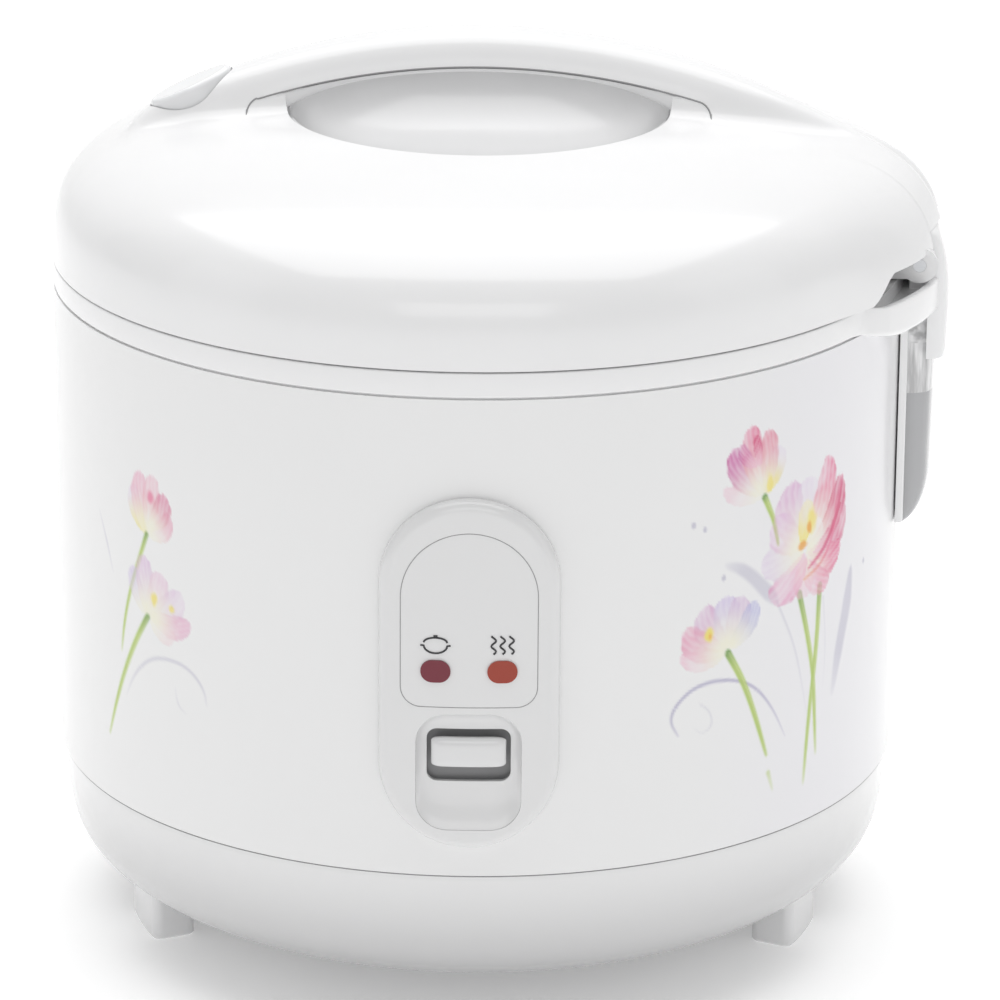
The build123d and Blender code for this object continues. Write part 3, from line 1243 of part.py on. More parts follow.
BUTTON_SPRING_R = 6.0
BUTTON_SPRING_WIRE = 1.2
BUTTON_SPRING_SEAT = 5.0
with BuildPart() as button_spring:
    with BuildSketch(button_plane.offset(-STEM_LENGTH + BUTTON_SPRING_SEAT)):
        Circle(BUTTON_SPRING_R)
        Circle(BUTTON_SPRING_R - BUTTON_SPRING_WIRE, mode=Mode.SUBTRACT)
    extrude(amount=STEM_LENGTH - BUTTON_SPRING_SEAT - BUTTON_BODY - 0.1)
button_spring.part.label = "button_spring"
export_step(button_spring.part, "parts/button_spring.step")

HOOK_BOTTOM_Z = 207.0
HOOK_ARM_Z = 229.0
HOOK_ARM_END_X = -80.0
HOOK_THICK = 2.0
HOOK_HALF = 6.5
BARB_DEPTH = 1.4
with BuildPart() as latch_hook:
    with BuildSketch(Plane.XZ.offset(-HOOK_HALF)):
        with BuildLine():
            Polyline(
                (LATCH_X, HOOK_BOTTOM_Z),
                (LATCH_X, HOOK_ARM_Z + HOOK_THICK),
                (HOOK_ARM_END_X, HOOK_ARM_Z + HOOK_THICK),
                (HOOK_ARM_END_X, HOOK_ARM_Z),
                (LATCH_X + HOOK_THICK, HOOK_ARM_Z),
                (LATCH_X + HOOK_THICK, HOOK_BOTTOM_Z + HOOK_THICK / 2),
                (LATCH_X + HOOK_THICK / 2, HOOK_BOTTOM_Z),
                close=True,
            )
        make_face()
    extrude(amount=2 * HOOK_HALF)
    with BuildSketch(Plane.XZ.offset(-HOOK_HALF)):
        with BuildLine():
            Polyline(
                (LATCH_X, HOOK_BOTTOM_Z),
                (LATCH_X - BARB_DEPTH, HOOK_BOTTOM_Z + BARB_DEPTH),
                (LATCH_X, HOOK_BOTTOM_Z + 2 * BARB_DEPTH),
                close=True,
            )
        make_face()
    extrude(amount=2 * HOOK_HALF)
latch_hook.part.label = "latch_hook"
export_step(latch_hook.part, "parts/latch_hook.step")

LID_SCREW_RING_R = 121.5
SCREW_HEAD_R = 2.6
SCREW_HEAD_HEIGHT = 1.6
with BuildPart() as lid_screws:
    with BuildSketch(Plane.XY.offset(LID_PLATE_Z + FRAME_PLATE)):
        with PolarLocations(LID_SCREW_RING_R, 4, start_angle=45):
            Circle(SCREW_HEAD_R)
    extrude(amount=SCREW_HEAD_HEIGHT)
lid_screws.part.label = "lid_screws"
export_step(lid_screws.part, "parts/lid_screws.step")
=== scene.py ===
import json
from math import cos, pi, radians, sin, sqrt

import bmesh
import bpy
import numpy as np
from mathutils import Euler, Matrix, Vector


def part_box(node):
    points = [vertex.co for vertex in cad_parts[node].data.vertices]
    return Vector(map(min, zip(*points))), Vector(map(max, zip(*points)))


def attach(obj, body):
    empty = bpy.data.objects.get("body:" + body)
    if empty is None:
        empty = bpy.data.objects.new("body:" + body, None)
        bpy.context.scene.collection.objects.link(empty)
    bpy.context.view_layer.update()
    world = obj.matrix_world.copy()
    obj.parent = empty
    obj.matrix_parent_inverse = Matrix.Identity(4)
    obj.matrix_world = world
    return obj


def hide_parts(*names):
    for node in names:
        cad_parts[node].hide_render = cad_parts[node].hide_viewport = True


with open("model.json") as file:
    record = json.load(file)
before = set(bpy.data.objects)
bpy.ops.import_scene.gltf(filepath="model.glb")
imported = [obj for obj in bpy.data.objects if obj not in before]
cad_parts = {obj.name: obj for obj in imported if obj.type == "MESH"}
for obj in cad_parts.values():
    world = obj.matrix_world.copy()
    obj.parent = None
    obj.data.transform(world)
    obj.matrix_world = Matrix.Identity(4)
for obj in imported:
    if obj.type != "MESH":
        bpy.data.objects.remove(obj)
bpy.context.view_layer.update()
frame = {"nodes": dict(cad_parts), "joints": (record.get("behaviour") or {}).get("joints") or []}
MM = 0.001


def box_mm(node):
    """A CAD node's lowest and highest corners, in millimetres."""
    low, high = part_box(node)
    return np.array(low) / MM, np.array(high) / MM


def add(name, data):
    """A new object in the scene."""
    obj = bpy.data.objects.new(name, data)
    bpy.context.scene.collection.objects.link(obj)
    return obj


def smoothstep(value):
    value = np.clip(value, 0, 1)
    return value * value * (3 - 2 * value)


# ---------------------------------------------------------------- camera

CAMERA_PLACE = (0.0, -1.6363, 0.6820)
CAMERA_PITCH = 18.61
CAMERA_HEADING = 0.25
CAMERA_ROLL = 0.407
CAMERA_LENS = 198.4
CAMERA_ORBIT = 0.9


def make_camera():
    data = bpy.data.cameras.new("camera")
    data.lens = CAMERA_LENS
    data.sensor_width = 36.0
    data.clip_end = 50.0
    camera = add("camera", data)
    aim = Euler((radians(90 - CAMERA_PITCH), 0, radians(-CAMERA_HEADING))).to_matrix()
    roll = Matrix.Rotation(radians(CAMERA_ROLL), 3, "Z")
    orbit = Matrix.Rotation(radians(CAMERA_ORBIT), 4, "Z")
    camera.matrix_world = orbit @ Matrix.Translation(CAMERA_PLACE) @ (aim @ roll).to_4x4()
    bpy.context.scene.camera = camera


make_camera()

# ---------------------------------------------------------------- sizes, in millimetres

SHELL_LOW, SHELL_HIGH = box_mm("outer_shell")
SHELL_R = SHELL_HIGH[1]
SHELL_BOTTOM, SHELL_TOP = SHELL_LOW[2], SHELL_HIGH[2]
SEAM = 0.5
RIM_LOW, RIM_HIGH = box_mm("upper_frame")
RIM_TOP = RIM_HIGH[2]
RIM_BOTTOM = SHELL_TOP + SEAM
LID_LOW, LID_HIGH = box_mm("outer_lid")
LID_BOTTOM, HANDLE_TOP = LID_LOW[2], LID_HIGH[2]
BOWL_R = box_mm("grip_bowl")[1][0] + 0.1
CUP_LOW, CUP_HIGH = box_mm("dew_collector")
CUP_HALF = 22.0
CUP_BOTTOM, CUP_TOP = CUP_LOW[2], CUP_HIGH[2]
HINGE = next(np.array(joint["pos_m"]) / MM for joint in frame["joints"] if joint["name"] == "lid_hinge")
CROWN_HEIGHT = 48.0
LID_WALL = 2.6
SHELF_CENTRE_X = 54.5
SHELF_R = 88.5
SHELF_TOP = 212.0
SHELF_FLOOR = 208.6
SHELF_BOTTOM = RIM_LOW[2] + 2.0


# ---------------------------------------------------------------- shader nodes


class Value:
    """A shader socket that can be used in sums."""

    def __init__(self, surface, socket):
        self.surface = surface
        self.socket = socket

    def _math(self, operation, other, swap=False):
        pair = (other, self) if swap else (self, other)
        return self.surface.node("ShaderNodeMath", {"operation": operation}, {0: pair[0], 1: pair[1]})

    def __add__(self, other):
        return self._math("ADD", other)

    __radd__ = __add__

    def __sub__(self, other):
        return self._math("SUBTRACT", other)

    def __rsub__(self, other):
        return self._math("SUBTRACT", other, swap=True)

    def __mul__(self, other):
        return self._math("MULTIPLY", other)

    __rmul__ = __mul__

    def __gt__(self, other):
        return self._math("GREATER_THAN", other)


class Surface:
    """A material and the one method that adds its nodes."""

    def __init__(self, name):
        self.material = bpy.data.materials.new(name)
        self.material.use_nodes = True
        self.tree = self.material.node_tree
        self.shader = next(node for node in self.tree.nodes if node.type == "BSDF_PRINCIPLED")

    def node(self, kind, settings=None, inputs=None, output=0):
        made = self.tree.nodes.new(kind)
        for key, setting in (settings or {}).items():
            if key == "stops":
                elements = made.color_ramp.elements
                for index, (place, colour) in enumerate(setting):
                    element = elements[index] if index < 2 else elements.new(place)
                    element.position = place
                    element.color = (*colour, 1.0)
            else:
                setattr(made, key, setting)
        for key, given in (inputs or {}).items():
            self.feed(made.inputs[key], given)
        return Value(self, made.outputs[output])

    def feed(self, socket, given):
        if isinstance(given, Value):
            self.tree.links.new(given.socket, socket)
        elif isinstance(given, (tuple, list)) and len(given) == 3 and socket.type == "RGBA":
            socket.default_value = (*given, 1.0)
        else:
            socket.default_value = given

    def set(self, **sockets):
        for name, given in sockets.items():
            self.feed(self.shader.inputs[name.replace("_", " ").title().replace("Ior", "IOR")], given)

    def place(self):
        """Object coordinates, in metres."""
        return self.node("ShaderNodeTexCoord", output=3)

    def height(self):
        return self.node("ShaderNodeSeparateXYZ", {}, {0: self.place()}, output=2)

    def noise(self, size, detail=3.0):
        """Noise from 0 to 1 whose features are about size metres across."""
        inputs = {"Vector": self.place(), "Scale": 1.0 / size, "Detail": detail, "Roughness": 0.5}
        return self.node("ShaderNodeTexNoise", {}, inputs)

    def streaks(self, stretch, scale, detail):
        """Noise drawn out along an axis."""
        drawn = self.node("ShaderNodeMapping", {}, {"Vector": self.place(), "Scale": stretch})
        return self.node("ShaderNodeTexNoise", {}, {"Vector": drawn, "Scale": scale, "Detail": detail})

    def ramp(self, factor, *stops):
        return self.node("ShaderNodeValToRGB", {"stops": stops}, {"Fac": factor})

    def mix(self, factor, first, second, blend="MIX"):
        inputs = {"Factor": factor, 6: first, 7: second}
        return self.node("ShaderNodeMix", {"data_type": "RGBA", "blend_type": blend}, inputs, output=2)

    def bump(self, height, distance, strength=1.0):
        given = {"Height": height, "Distance": distance, "Strength": strength}
        self.feed(self.shader.inputs["Normal"], self.node("ShaderNodeBump", {}, given))


CLOUD_SIZE = 0.05
SKIN_SIZE = 0.0012
SKIN_DEPTH = 0.00001


def skin(surface):
    """The very fine grain of moulded plastic."""
    surface.bump(surface.noise(SKIN_SIZE, detail=2.0), SKIN_DEPTH, 0.35)
    return surface


def moulded(name, colour, roughness, coat):
    """Moulded plastic: a faint unevenness of colour and gloss, and a very fine skin."""
    surface = Surface(name)
    cloud = surface.noise(CLOUD_SIZE)
    darker = tuple(channel * 0.97 for channel in colour)
    surface.set(base_color=surface.mix(cloud, darker, colour))
    surface.set(roughness=cloud * 0.08 + (roughness - 0.04))
    surface.set(coat_weight=coat, coat_roughness=0.06, ior=1.5)
    return skin(surface)


def painted_shade_base(name):
    """White plastic darkened by painted shade: its tone sinks slowly towards the worktop, from 55 mm down to 5 mm
    above it, standing in for the shade under the curving base.
    """
    surface = Surface(name)
    stops = (0.0, (0.28, 0.28, 0.284)), (0.4, (0.5, 0.5, 0.504)), (1.0, (0.84, 0.84, 0.843))
    # painted shade: the colour ramps darker towards the foot
    tone = surface.ramp(surface.height() * 20.0 - 0.1, *stops)
    cloud = surface.noise(CLOUD_SIZE)
    surface.set(base_color=surface.mix(cloud * 0.03, tone, (0.6, 0.6, 0.6)))
    surface.set(roughness=cloud * 0.08 + 0.2, coat_weight=0.4, coat_roughness=0.08, ior=1.5)
    return skin(surface)


# Heights on the dew cup, in metres: where its clear part begins, and where the painted bright speckle begins.
CUP_LINE = 0.1745
CUP_SPECKLE_LINE = 0.1905


def cup_plastic(name):
    """Clear plastic in front of its bracket, drawn as opaque colour: painted highlight streaks and painted bright
    speckle above, and below it a plain grey of painted shade for the dark inside seen through the clear wall.
    """
    surface = Surface(name)
    height = surface.height()
    streak = surface.streaks((1.0, 1.0, 0.12), 420.0, 3.0)
    speckle_noise = surface.noise(0.004, detail=2.0)
    above = height > CUP_LINE
    # painted highlights: bright streaks standing in for light on the clear plastic
    painted_highlights = surface.ramp(streak, (0.4, (0.50, 0.50, 0.505)), (0.62, (0.86, 0.86, 0.865)))
    painted_speckle = surface.ramp(speckle_noise, (0.42, (0.46, 0.46, 0.465)), (0.6, (0.9, 0.9, 0.905)))
    upper = surface.mix(height > CUP_SPECKLE_LINE, painted_highlights, painted_speckle)
    # painted shade below the clear part: plain grey for the dark inside seen through the wall
    surface.set(base_color=surface.mix(above, (0.43, 0.432, 0.442), upper))
    surface.set(roughness=speckle_noise * 0.1 + 0.12, coat_weight=0.5, coat_roughness=0.05, ior=1.5)
    surface.bump(streak * above, 0.0001, 0.3)
    return surface


def metal(name, colour, roughness):
    """Sheet or cast metal with a fine directional finish."""
    surface = Surface(name)
    brushed = surface.streaks((1.0, 1.0, 14.0), 260.0, 4.0)
    darker = tuple(channel * 0.82 for channel in colour)
    surface.set(base_color=surface.mix(brushed, darker, colour))
    surface.set(metallic=1.0, roughness=brushed * 0.2 + (roughness - 0.1))
    surface.bump(brushed, 0.00002, 0.5)
    return surface


# ---------------------------------------------------------------- mesh tools


def face_outward(mesh):
    edit = bmesh.new()
    edit.from_mesh(mesh)
    bmesh.ops.recalc_face_normals(edit, faces=edit.faces)
    edit.to_mesh(mesh)
    edit.free()


def put(name, points, faces, crease=35.0):
    """A mesh object from points in millimetres, its faces turned outward and shaded smooth below the crease angle."""
    mesh = bpy.data.meshes.new(name)
    mesh.from_pydata((np.asarray(points, float) * MM).tolist(), [], [list(map(int, face)) for face in faces])
    face_outward(mesh)
    smooth(mesh, crease)
    return add(name, mesh)


def smooth(mesh, crease):
    mesh.polygons.foreach_set("use_smooth", [True] * len(mesh.polygons))
    mesh.set_sharp_from_angle(angle=radians(crease))
    mesh.update()


def settle(obj, crease=35.0):
    """The object's modifiers worked into its mesh."""
    graph = bpy.context.evaluated_depsgraph_get()
    made = bpy.data.meshes.new_from_object(obj.evaluated_get(graph))
    obj.modifiers.clear()
    obj.data = made
    smooth(made, crease)
    return obj


def cut(obj, *cutters, crease=35.0):
    """Cuts the cutters' shapes out of the object, and removes the cutters."""
    for cutter in cutters:
        hole = obj.modifiers.new("hole", "BOOLEAN")
        hole.operation = "DIFFERENCE"
        hole.solver = "EXACT"
        hole.object = cutter
    settle(obj, crease)
    for cutter in cutters:
        bpy.data.objects.remove(cutter)
    return obj


def grid_faces(rows, columns, wrap_rows=False, wrap_columns=False):
    """Quads of a grid of points numbered row by row."""
    row = np.arange(rows if wrap_rows else rows - 1)
    column = np.arange(columns if wrap_columns else columns - 1)
    row, column = np.meshgrid(row, column, indexing="ij")
    below, right = (row + 1) % rows, (column + 1) % columns
    here, under = row * columns, below * columns
    return np.stack([here + column, here + right, under + right, under + column], -1).reshape(-1, 4)


def loft(name, loops, crease=35.0):
    """A closed solid through a row of loops that have the same number of points."""
    loops = np.asarray(loops, float)
    rows, columns = loops.shape[:2]
    faces = grid_faces(rows, columns, wrap_columns=True).tolist()
    faces += [list(range(columns)), list(range((rows - 1) * columns, rows * columns))[::-1]]
    return put(name, loops.reshape(-1, 3), faces, crease)


def thicken(points, faces, wall):
    """An open sheet made into a closed wall by a copy set inward, its faces wound outward to begin with."""
    points = np.asarray(points, float)
    normal = np.zeros_like(points)
    for face in (faces[:, [0, 1, 2]], faces[:, [0, 2, 3]]):
        a, b, c = points[face[:, 0]], points[face[:, 1]], points[face[:, 2]]
        across = np.cross(b - a, c - a)
        for corner in range(3):
            np.add.at(normal, face[:, corner], across)
    normal /= np.linalg.norm(normal, axis=1)[:, None] + 1e-12
    inner = points - normal * wall
    count = len(points)
    edges = np.concatenate([faces[:, [i, (i + 1) % 4]] for i in range(4)])
    key = {(a, b) for a, b in edges.tolist()}
    rim = [(b, a, a + count, b + count) for a, b in key if (b, a) not in key]
    every = faces.tolist() + (faces[:, ::-1] + count).tolist() + rim
    return np.concatenate([points, inner]), every


def dress(obj, body, slot, *stands_for, surface=None):
    """Gives a finished piece its material, slot and body."""
    obj.data.materials.clear()
    obj.data.materials.append((surface or finish[slot]).material)
    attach(obj, body)
    if stands_for:
        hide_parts(*stands_for)
    return obj


def bisect(inside, low, high, turns=34):
    """Where inside(t) stops being true between low and high, for every point that inside looks at."""
    for _ in range(turns):
        middle = (low + high) / 2
        keep = inside(middle)
        low = np.where(keep, middle, low)
        high = np.where(keep, high, middle)
    return (low + high) / 2


# ---------------------------------------------------------------- lid

BAR_DEPTH = 12.5
RIDGE_HALF = 13.0
RIDGE_REACH = 118.0
SEAM_DROP = 9.4
HUMP_HEIGHT = 36.8
BLEND = 6.0
HINGE_GAP_Z = 226.5
WINDOW_Z = 221.5


def ridge_line(x):
    """Height of the handle's top line."""
    sweep = np.where(x < 0, 216.0, 222.0)
    line = HANDLE_TOP - sweep + np.sqrt(sweep**2 - x**2)
    fall_left = 0.05 * np.maximum(0, -x - 98) ** 2
    fall_right = 0.06 * np.maximum(0, x - 117) ** 2
    return line - fall_left - fall_right


def ridge_half(x):
    return RIDGE_HALF * np.sqrt(np.maximum(1 - np.abs(x / RIDGE_REACH) ** 4, 0.1))


def ridge_top(x, y):
    return ridge_line(x) - BAR_DEPTH * np.minimum(np.abs(y) / ridge_half(x), 6) ** 4


def blend(first, second, soft):
    """The union of two shapes given by distance, with a soft corner."""
    near = np.maximum(soft - np.abs(first - second), 0) / soft
    return np.minimum(first, second) - near**2 * soft / 4


def lid_distance(x, y, z):
    """Roughly how far a point lies outside the lid's outer surface."""
    rise = np.maximum(z - RIM_TOP, 0)
    r = np.hypot(x, y)
    dome = (r / SHELL_R) ** 2.2 + (rise / CROWN_HEIGHT) ** 3.7 - 1
    slope = np.hypot(2.2 * r**1.2 / SHELL_R**2.2, 3.7 * rise**2.7 / CROWN_HEIGHT**3.7)
    dome = dome / (slope + 1e-9)
    d = np.hypot(x - SHELF_CENTRE_X, y)
    hump = (d / SHELF_R) ** 6 + (rise / HUMP_HEIGHT) ** 2 - 1
    slope = np.hypot(6 * d**5 / SHELF_R**6, 2 * rise / HUMP_HEIGHT**2)
    hump = hump / (slope + 1e-9)
    step = 0.1
    along = (ridge_line(x + step) - ridge_line(x - step)) / (2 * step)
    over = (ridge_top(x, np.abs(y) + step) - ridge_top(x, np.abs(y) - step)) / (2 * step)
    ridge = (z - ridge_top(x, y)) / np.sqrt(1 + along**2 + over**2)
    ridge = ridge + 0.6 * np.maximum(-x - 106, 0)
    return blend(blend(dome, hump, BLEND), ridge, BLEND)


def lid_edge_height(y):
    """Height of the lid's lower edge at the hinge end: cut up over the shelf, and higher over the hinge."""
    y = np.abs(y)
    slant = LID_BOTTOM + (61.0 - y) * (WINDOW_Z - LID_BOTTOM) / 8.0
    edge = np.clip(slant, LID_BOTTOM, WINDOW_Z)
    return np.where(y < 25.2, HINGE_GAP_Z, edge)


def edge_half(x):
    """Half the bar's width where its cover ends."""
    sunk = ridge_half(x) * (SEAM_DROP / BAR_DEPTH) ** 0.25
    return sunk + (LIP_HALF - sunk) * smoothstep((np.abs(x) - 46.0) / 13.0)


FAN_STEP = 0.4
BAR_LINES = 29
LIP_HALF = BOWL_R * sin(radians(FAN_STEP * BAR_LINES))
LID_ROWS = 62


def nearest(degrees, wanted):
    """Which of the headings lies nearest to each wanted one, going round the circle."""
    return np.array([int(np.argmin(np.abs((degrees - heading + 180) % 360 - 180))) for heading in wanted])


def lid_sheet():
    """The lid's outer surface, as points and faces.

    Meridians run from the bowl's lip down to the edge, and the handle's bar spans the lip.
    """
    fan = np.arange(-40, 41) * FAN_STEP
    side = np.arange(17.5, 162.6, 1.25)
    hinge = np.degrees(np.arcsin(np.array([25.05, 25.35, 53.0, 61.0]) / 138.0))
    degrees = np.concatenate([fan, side, 180 + fan, 180 + side])
    extra = np.concatenate([hinge, 360 - hinge])
    extra = np.array([e for e in extra if np.min(np.abs((degrees - e + 180) % 360 - 180)) > 0.05])
    degrees = np.sort(np.concatenate([degrees % 360, extra]))
    theta = np.radians(degrees)
    c, s = np.cos(theta), np.sin(theta)
    on_hinge_side = c > 0
    edge_z = np.full_like(theta, LID_BOTTOM)
    for _ in range(4):
        edge_r = bisect(lambda t: lid_distance(t * c, t * s, edge_z) < 0, 70.0, 175.0)
        edge_z = np.where(on_hinge_side, lid_edge_height(edge_r * s), LID_BOTTOM)
    lip_z = bisect(lambda t: lid_distance(BOWL_R * c, BOWL_R * s, t) < 0, 230.0, 295.0)
    low = np.arctan2(edge_z - RIM_TOP, edge_r)
    high = np.arctan2(lip_z - RIM_TOP, BOWL_R)
    share = np.linspace(0, 1, LID_ROWS)[:, None]
    climb = low + (high - low) * share
    dx, dy, dz = np.cos(climb) * c, np.cos(climb) * s, np.sin(climb)
    reach = bisect(lambda t: lid_distance(t * dx, t * dy, RIM_TOP + t * dz) < 0, 55.0, 180.0)
    points = np.stack([reach * dx, reach * dy, RIM_TOP + reach * dz], -1)
    columns = len(theta)
    faces = grid_faces(LID_ROWS, columns, wrap_columns=True)
    top = (LID_ROWS - 1) * columns
    spread = np.arange(-BAR_LINES, BAR_LINES + 1)
    right = top + nearest(degrees, FAN_STEP * spread)
    left = top + nearest(degrees, 180 - FAN_STEP * spread)
    flat = points.reshape(-1, 3)
    stations = np.linspace(1, -1, 44)[1:-1]
    x = flat[right, 0][:, None] * stations
    y = (spread / BAR_LINES)[:, None] * edge_half(x)
    z = ridge_top(x, y)
    step = flat[right, 2] - ridge_top(flat[right, 0], flat[right, 1])
    z = z + step[:, None] * smoothstep((np.abs(stations) - 0.8) / 0.2)
    bar = np.stack([x, y, z], -1)
    numbers = len(flat) + np.arange(z.size).reshape(z.shape)
    numbers = np.concatenate([right[:, None], numbers, left[:, None]], 1)
    strips = np.stack([numbers[:-1, :-1], numbers[1:, :-1], numbers[1:, 1:], numbers[:-1, 1:]], -1).reshape(-1, 4)
    return np.concatenate([flat, bar.reshape(-1, 3)]), np.concatenate([faces, strips])


def ellipse_cutter(centre, along, normal, half_long, half_wide, depth):
    count = 96
    turn = np.linspace(0, 2 * pi, count, endpoint=False)
    ring = centre + np.outer(np.cos(turn) * half_long, along) + np.outer(np.sin(turn) * half_wide, ACROSS)
    return loft("hole", [ring - normal * depth, ring + normal * depth])


BUTTON_TILT = radians(25.5)
BUTTON_CENTRE = np.array([-88.2, 0, 263.4])
BUTTON_ALONG = np.array([cos(BUTTON_TILT), 0, sin(BUTTON_TILT)])
BUTTON_NORMAL = np.array([-sin(BUTTON_TILT), 0, cos(BUTTON_TILT)])
FORWARD, ACROSS, UP = np.eye(3)
VENT_LOW, VENT_HIGH = box_mm("steam_vent_cap")
VENT_CENTRE = (VENT_LOW + VENT_HIGH) / 2
VENT_R = (VENT_HIGH[0] - VENT_LOW[0]) / 2


def make_lid():
    points, faces = thicken(*lid_sheet(), LID_WALL)
    lid = put("lid_cover", points, faces, 38)
    button_hole = ellipse_cutter(BUTTON_CENTRE, BUTTON_ALONG, BUTTON_NORMAL, 13.95, 8.95, 12)
    vent_hole = ellipse_cutter(VENT_CENTRE, FORWARD, UP, VENT_R + 0.45, VENT_R + 0.45, 15)
    return cut(lid, button_hole, vent_hole, crease=38)


def bar_floor(x):
    """Height of the bar's lower face."""
    return ridge_line(x) - SEAM_DROP - 1.6 - 4.4 * np.minimum(np.abs(x) / 60, 1.04) ** 5


def make_underside():
    x = np.linspace(-61.5, 61.5, 83)
    half = edge_half(x)
    top = ridge_line(x) - SEAM_DROP - 0.45
    low = bar_floor(x)
    bend = np.radians(np.linspace(0, 90, 6))
    loops = []
    for i in range(len(x)):
        round_r = min(1.3, (top[i] - low[i]) * 0.8)
        flat_half = half[i] - round_r
        y = np.concatenate([[half[i]], flat_half + round_r * np.cos(bend), np.linspace(flat_half, 0, 6)[1:]])
        z = np.concatenate([[top[i]], low[i] + round_r - round_r * np.sin(bend), np.full(5, low[i])])
        y = np.concatenate([y, -y[-2::-1]])
        z = np.concatenate([z, z[-2::-1]])
        loops.append(np.stack([np.full(len(y), x[i]), y, z], -1))
    return loft("handle_under", loops)


def seam_path(side):
    """The handle's joint line along one side, turning down at both ends."""
    end, bend_r, tail_end, bar_end = 67, 3.5, 259.6, 59.2
    x = np.linspace(-end, end, 120)
    z = ridge_line(x) - SEAM_DROP
    turn = np.radians(np.linspace(0, 90, 9))[1:]
    hook_x = end + bend_r * np.sin(turn)
    hook_z = z[-1] - bend_r * (1 - np.cos(turn)) - 0.3 * (hook_x - end)
    end_x = np.concatenate([hook_x, np.full(3, hook_x[-1])])
    end_z = np.concatenate([hook_z, np.linspace(hook_z[-1], tail_end, 4)[1:]])
    x = np.concatenate([-end_x[::-1], x, end_x])
    z = np.concatenate([end_z[::-1], z, end_z])
    surface = bisect(lambda t: lid_distance(x, t, z) < 0, 0.0, 40.0)
    y = np.where(np.abs(x) > bar_end, surface, edge_half(x))
    return np.stack([x, y * side, z], -1)


# ---------------------------------------------------------------- rim, hinge cover and dew cup

LEDGE_R = 118.6
PAN_FLANGE = RIM_TOP - 3.8
LINER_R = 112.8
LATCH_LOW, LATCH_HIGH = (-126.8, -9.0), (-119.3, 9.0)


def shelf_radius(theta):
    """The rim's outline: the body's circle, swelling to the shelf that carries the hinge."""
    c, s = np.cos(theta), np.sin(theta)
    reach = SHELF_CENTRE_X * c + np.sqrt(np.maximum((SHELF_R + 0.7) ** 2 - (SHELF_CENTRE_X * s) ** 2, 0))
    away = np.degrees(np.abs(theta))
    return SHELL_R + np.maximum(reach - SHELL_R, 0) * smoothstep((28.5 - away) / 4.5)


def make_rim():
    """The ring round the pan's mouth, with its shelf at the hinge end."""

    def level(radius, height):
        return np.full_like(theta, radius), np.full_like(theta, height)

    theta = np.radians(np.concatenate([np.arange(-34, 34, 0.5), np.arange(34, 326, 1.5)]))
    outline = shelf_radius(theta)
    part = np.clip((outline - SHELL_R) / 4.0, 0, 1)
    low = RIM_BOTTOM - (RIM_BOTTOM - SHELF_BOTTOM) * smoothstep((32 - np.degrees(np.abs(theta))) / 12)
    high = RIM_TOP - (RIM_TOP - SHELF_TOP) * part
    lip = outline - 0.6 - 1.6 * part
    floor_z = high - (SHELF_TOP - SHELF_FLOOR) * part
    bend = np.radians(np.linspace(0, 90, 5))
    sweep = 0.8 + 1.6 * part
    under = np.minimum(SHELL_R - 0.25, outline - sweep - 0.04)
    ring = [level(SHELL_R - 0.9, RIM_BOTTOM), (under, low)]
    ring += [(outline - sweep + sweep * np.sin(b), low + sweep * (1 - np.cos(b))) for b in bend]
    ring += [(outline - 0.5 + 0.5 * np.cos(b), high - 0.5 + 0.5 * np.sin(b)) for b in bend]
    ring += [(lip + 0.3 - 0.3 * np.sin(b), high - 0.3 + 0.3 * np.cos(b)) for b in bend]
    ring += [(lip - 0.05, floor_z), (np.minimum(lip - 0.1, SHELL_R + 0.3), floor_z)]
    ring += [(np.minimum(lip - 0.15, SHELL_R), level(0, RIM_TOP)[1])]
    ring += [level(LEDGE_R, RIM_TOP), level(LEDGE_R, PAN_FLANGE), level(LINER_R, PAN_FLANGE)]
    ring += [level(LINER_R, PAN_FLANGE - 2.0), level(LEDGE_R + 2, PAN_FLANGE - 2.0)]
    ring += [level(LEDGE_R + 2, RIM_TOP - 2.5), level(SHELL_R - 2.5, RIM_TOP - 2.5)]
    ring += [level(SHELL_R - 2.5, SHELL_TOP - 6), level(SHELL_R - 0.95, SHELL_TOP - 6)]
    radius, height = np.array([r for r, z in ring]), np.array([z for r, z in ring])
    points = np.stack([radius * np.cos(theta), radius * np.sin(theta), height], -1)
    faces = grid_faces(len(ring), len(theta), True, True)
    rim = put("rim_frame", points.reshape(-1, 3), faces, 35)
    (x0, y0), (x1, y1) = LATCH_LOW, LATCH_HIGH
    box = [[(x0, y0, z), (x1, y0, z), (x1, y1, z), (x0, y1, z)] for z in (PAN_FLANGE - 4, RIM_TOP + 3)]
    return cut(rim, loft("latch_slot", box), crease=35)


def make_hinge_cover():
    """The rounded cover over the hinge, with a thin skirt below it."""
    turn = np.radians(np.linspace(180, 62, 14))
    knuckle_r, bow_from = 9.4, 136
    knuckle = [(HINGE[0] + knuckle_r * cos(t), HINGE[2] + knuckle_r * sin(t)) for t in turn]
    back = [(139.6, 225.9), (140.7, 224.9), (141.4, 223.4), (142.0, 222.0)]
    back += [(142.9, 219.0), (143.7, 215.7), (144.2, 212.0), (144.5, 208.0)]
    skirt = [(144.5, 203.0), (144.3, 196.0), (144.1, 188.0), (143.7, 186.2)]
    skirt += [(143.2, 186.2), (142.9, 188.0), (142.9, 206.8), (141.5, 208.4)]
    inner = [(SHELL_R + 0.5, SHELF_FLOOR - 0.6), (SHELL_R + 0.5, RIM_TOP), (HINGE[0] - knuckle_r, RIM_TOP)]
    outline = np.array(knuckle + back + skirt + inner)
    y = 24.5 * np.sin(np.radians(np.linspace(-90, 90, 41)))
    loops = []
    for station in y:
        swell = (1 - abs(station / 24.52) ** 7) ** (1 / 3)
        x = outline[:, 0]
        x = np.where(x > bow_from, bow_from + (x - bow_from) * swell, x)
        loops.append(np.stack([x, np.full(len(x), station), outline[:, 1]], -1))
    return loft("hinge_shroud", loops, 40)


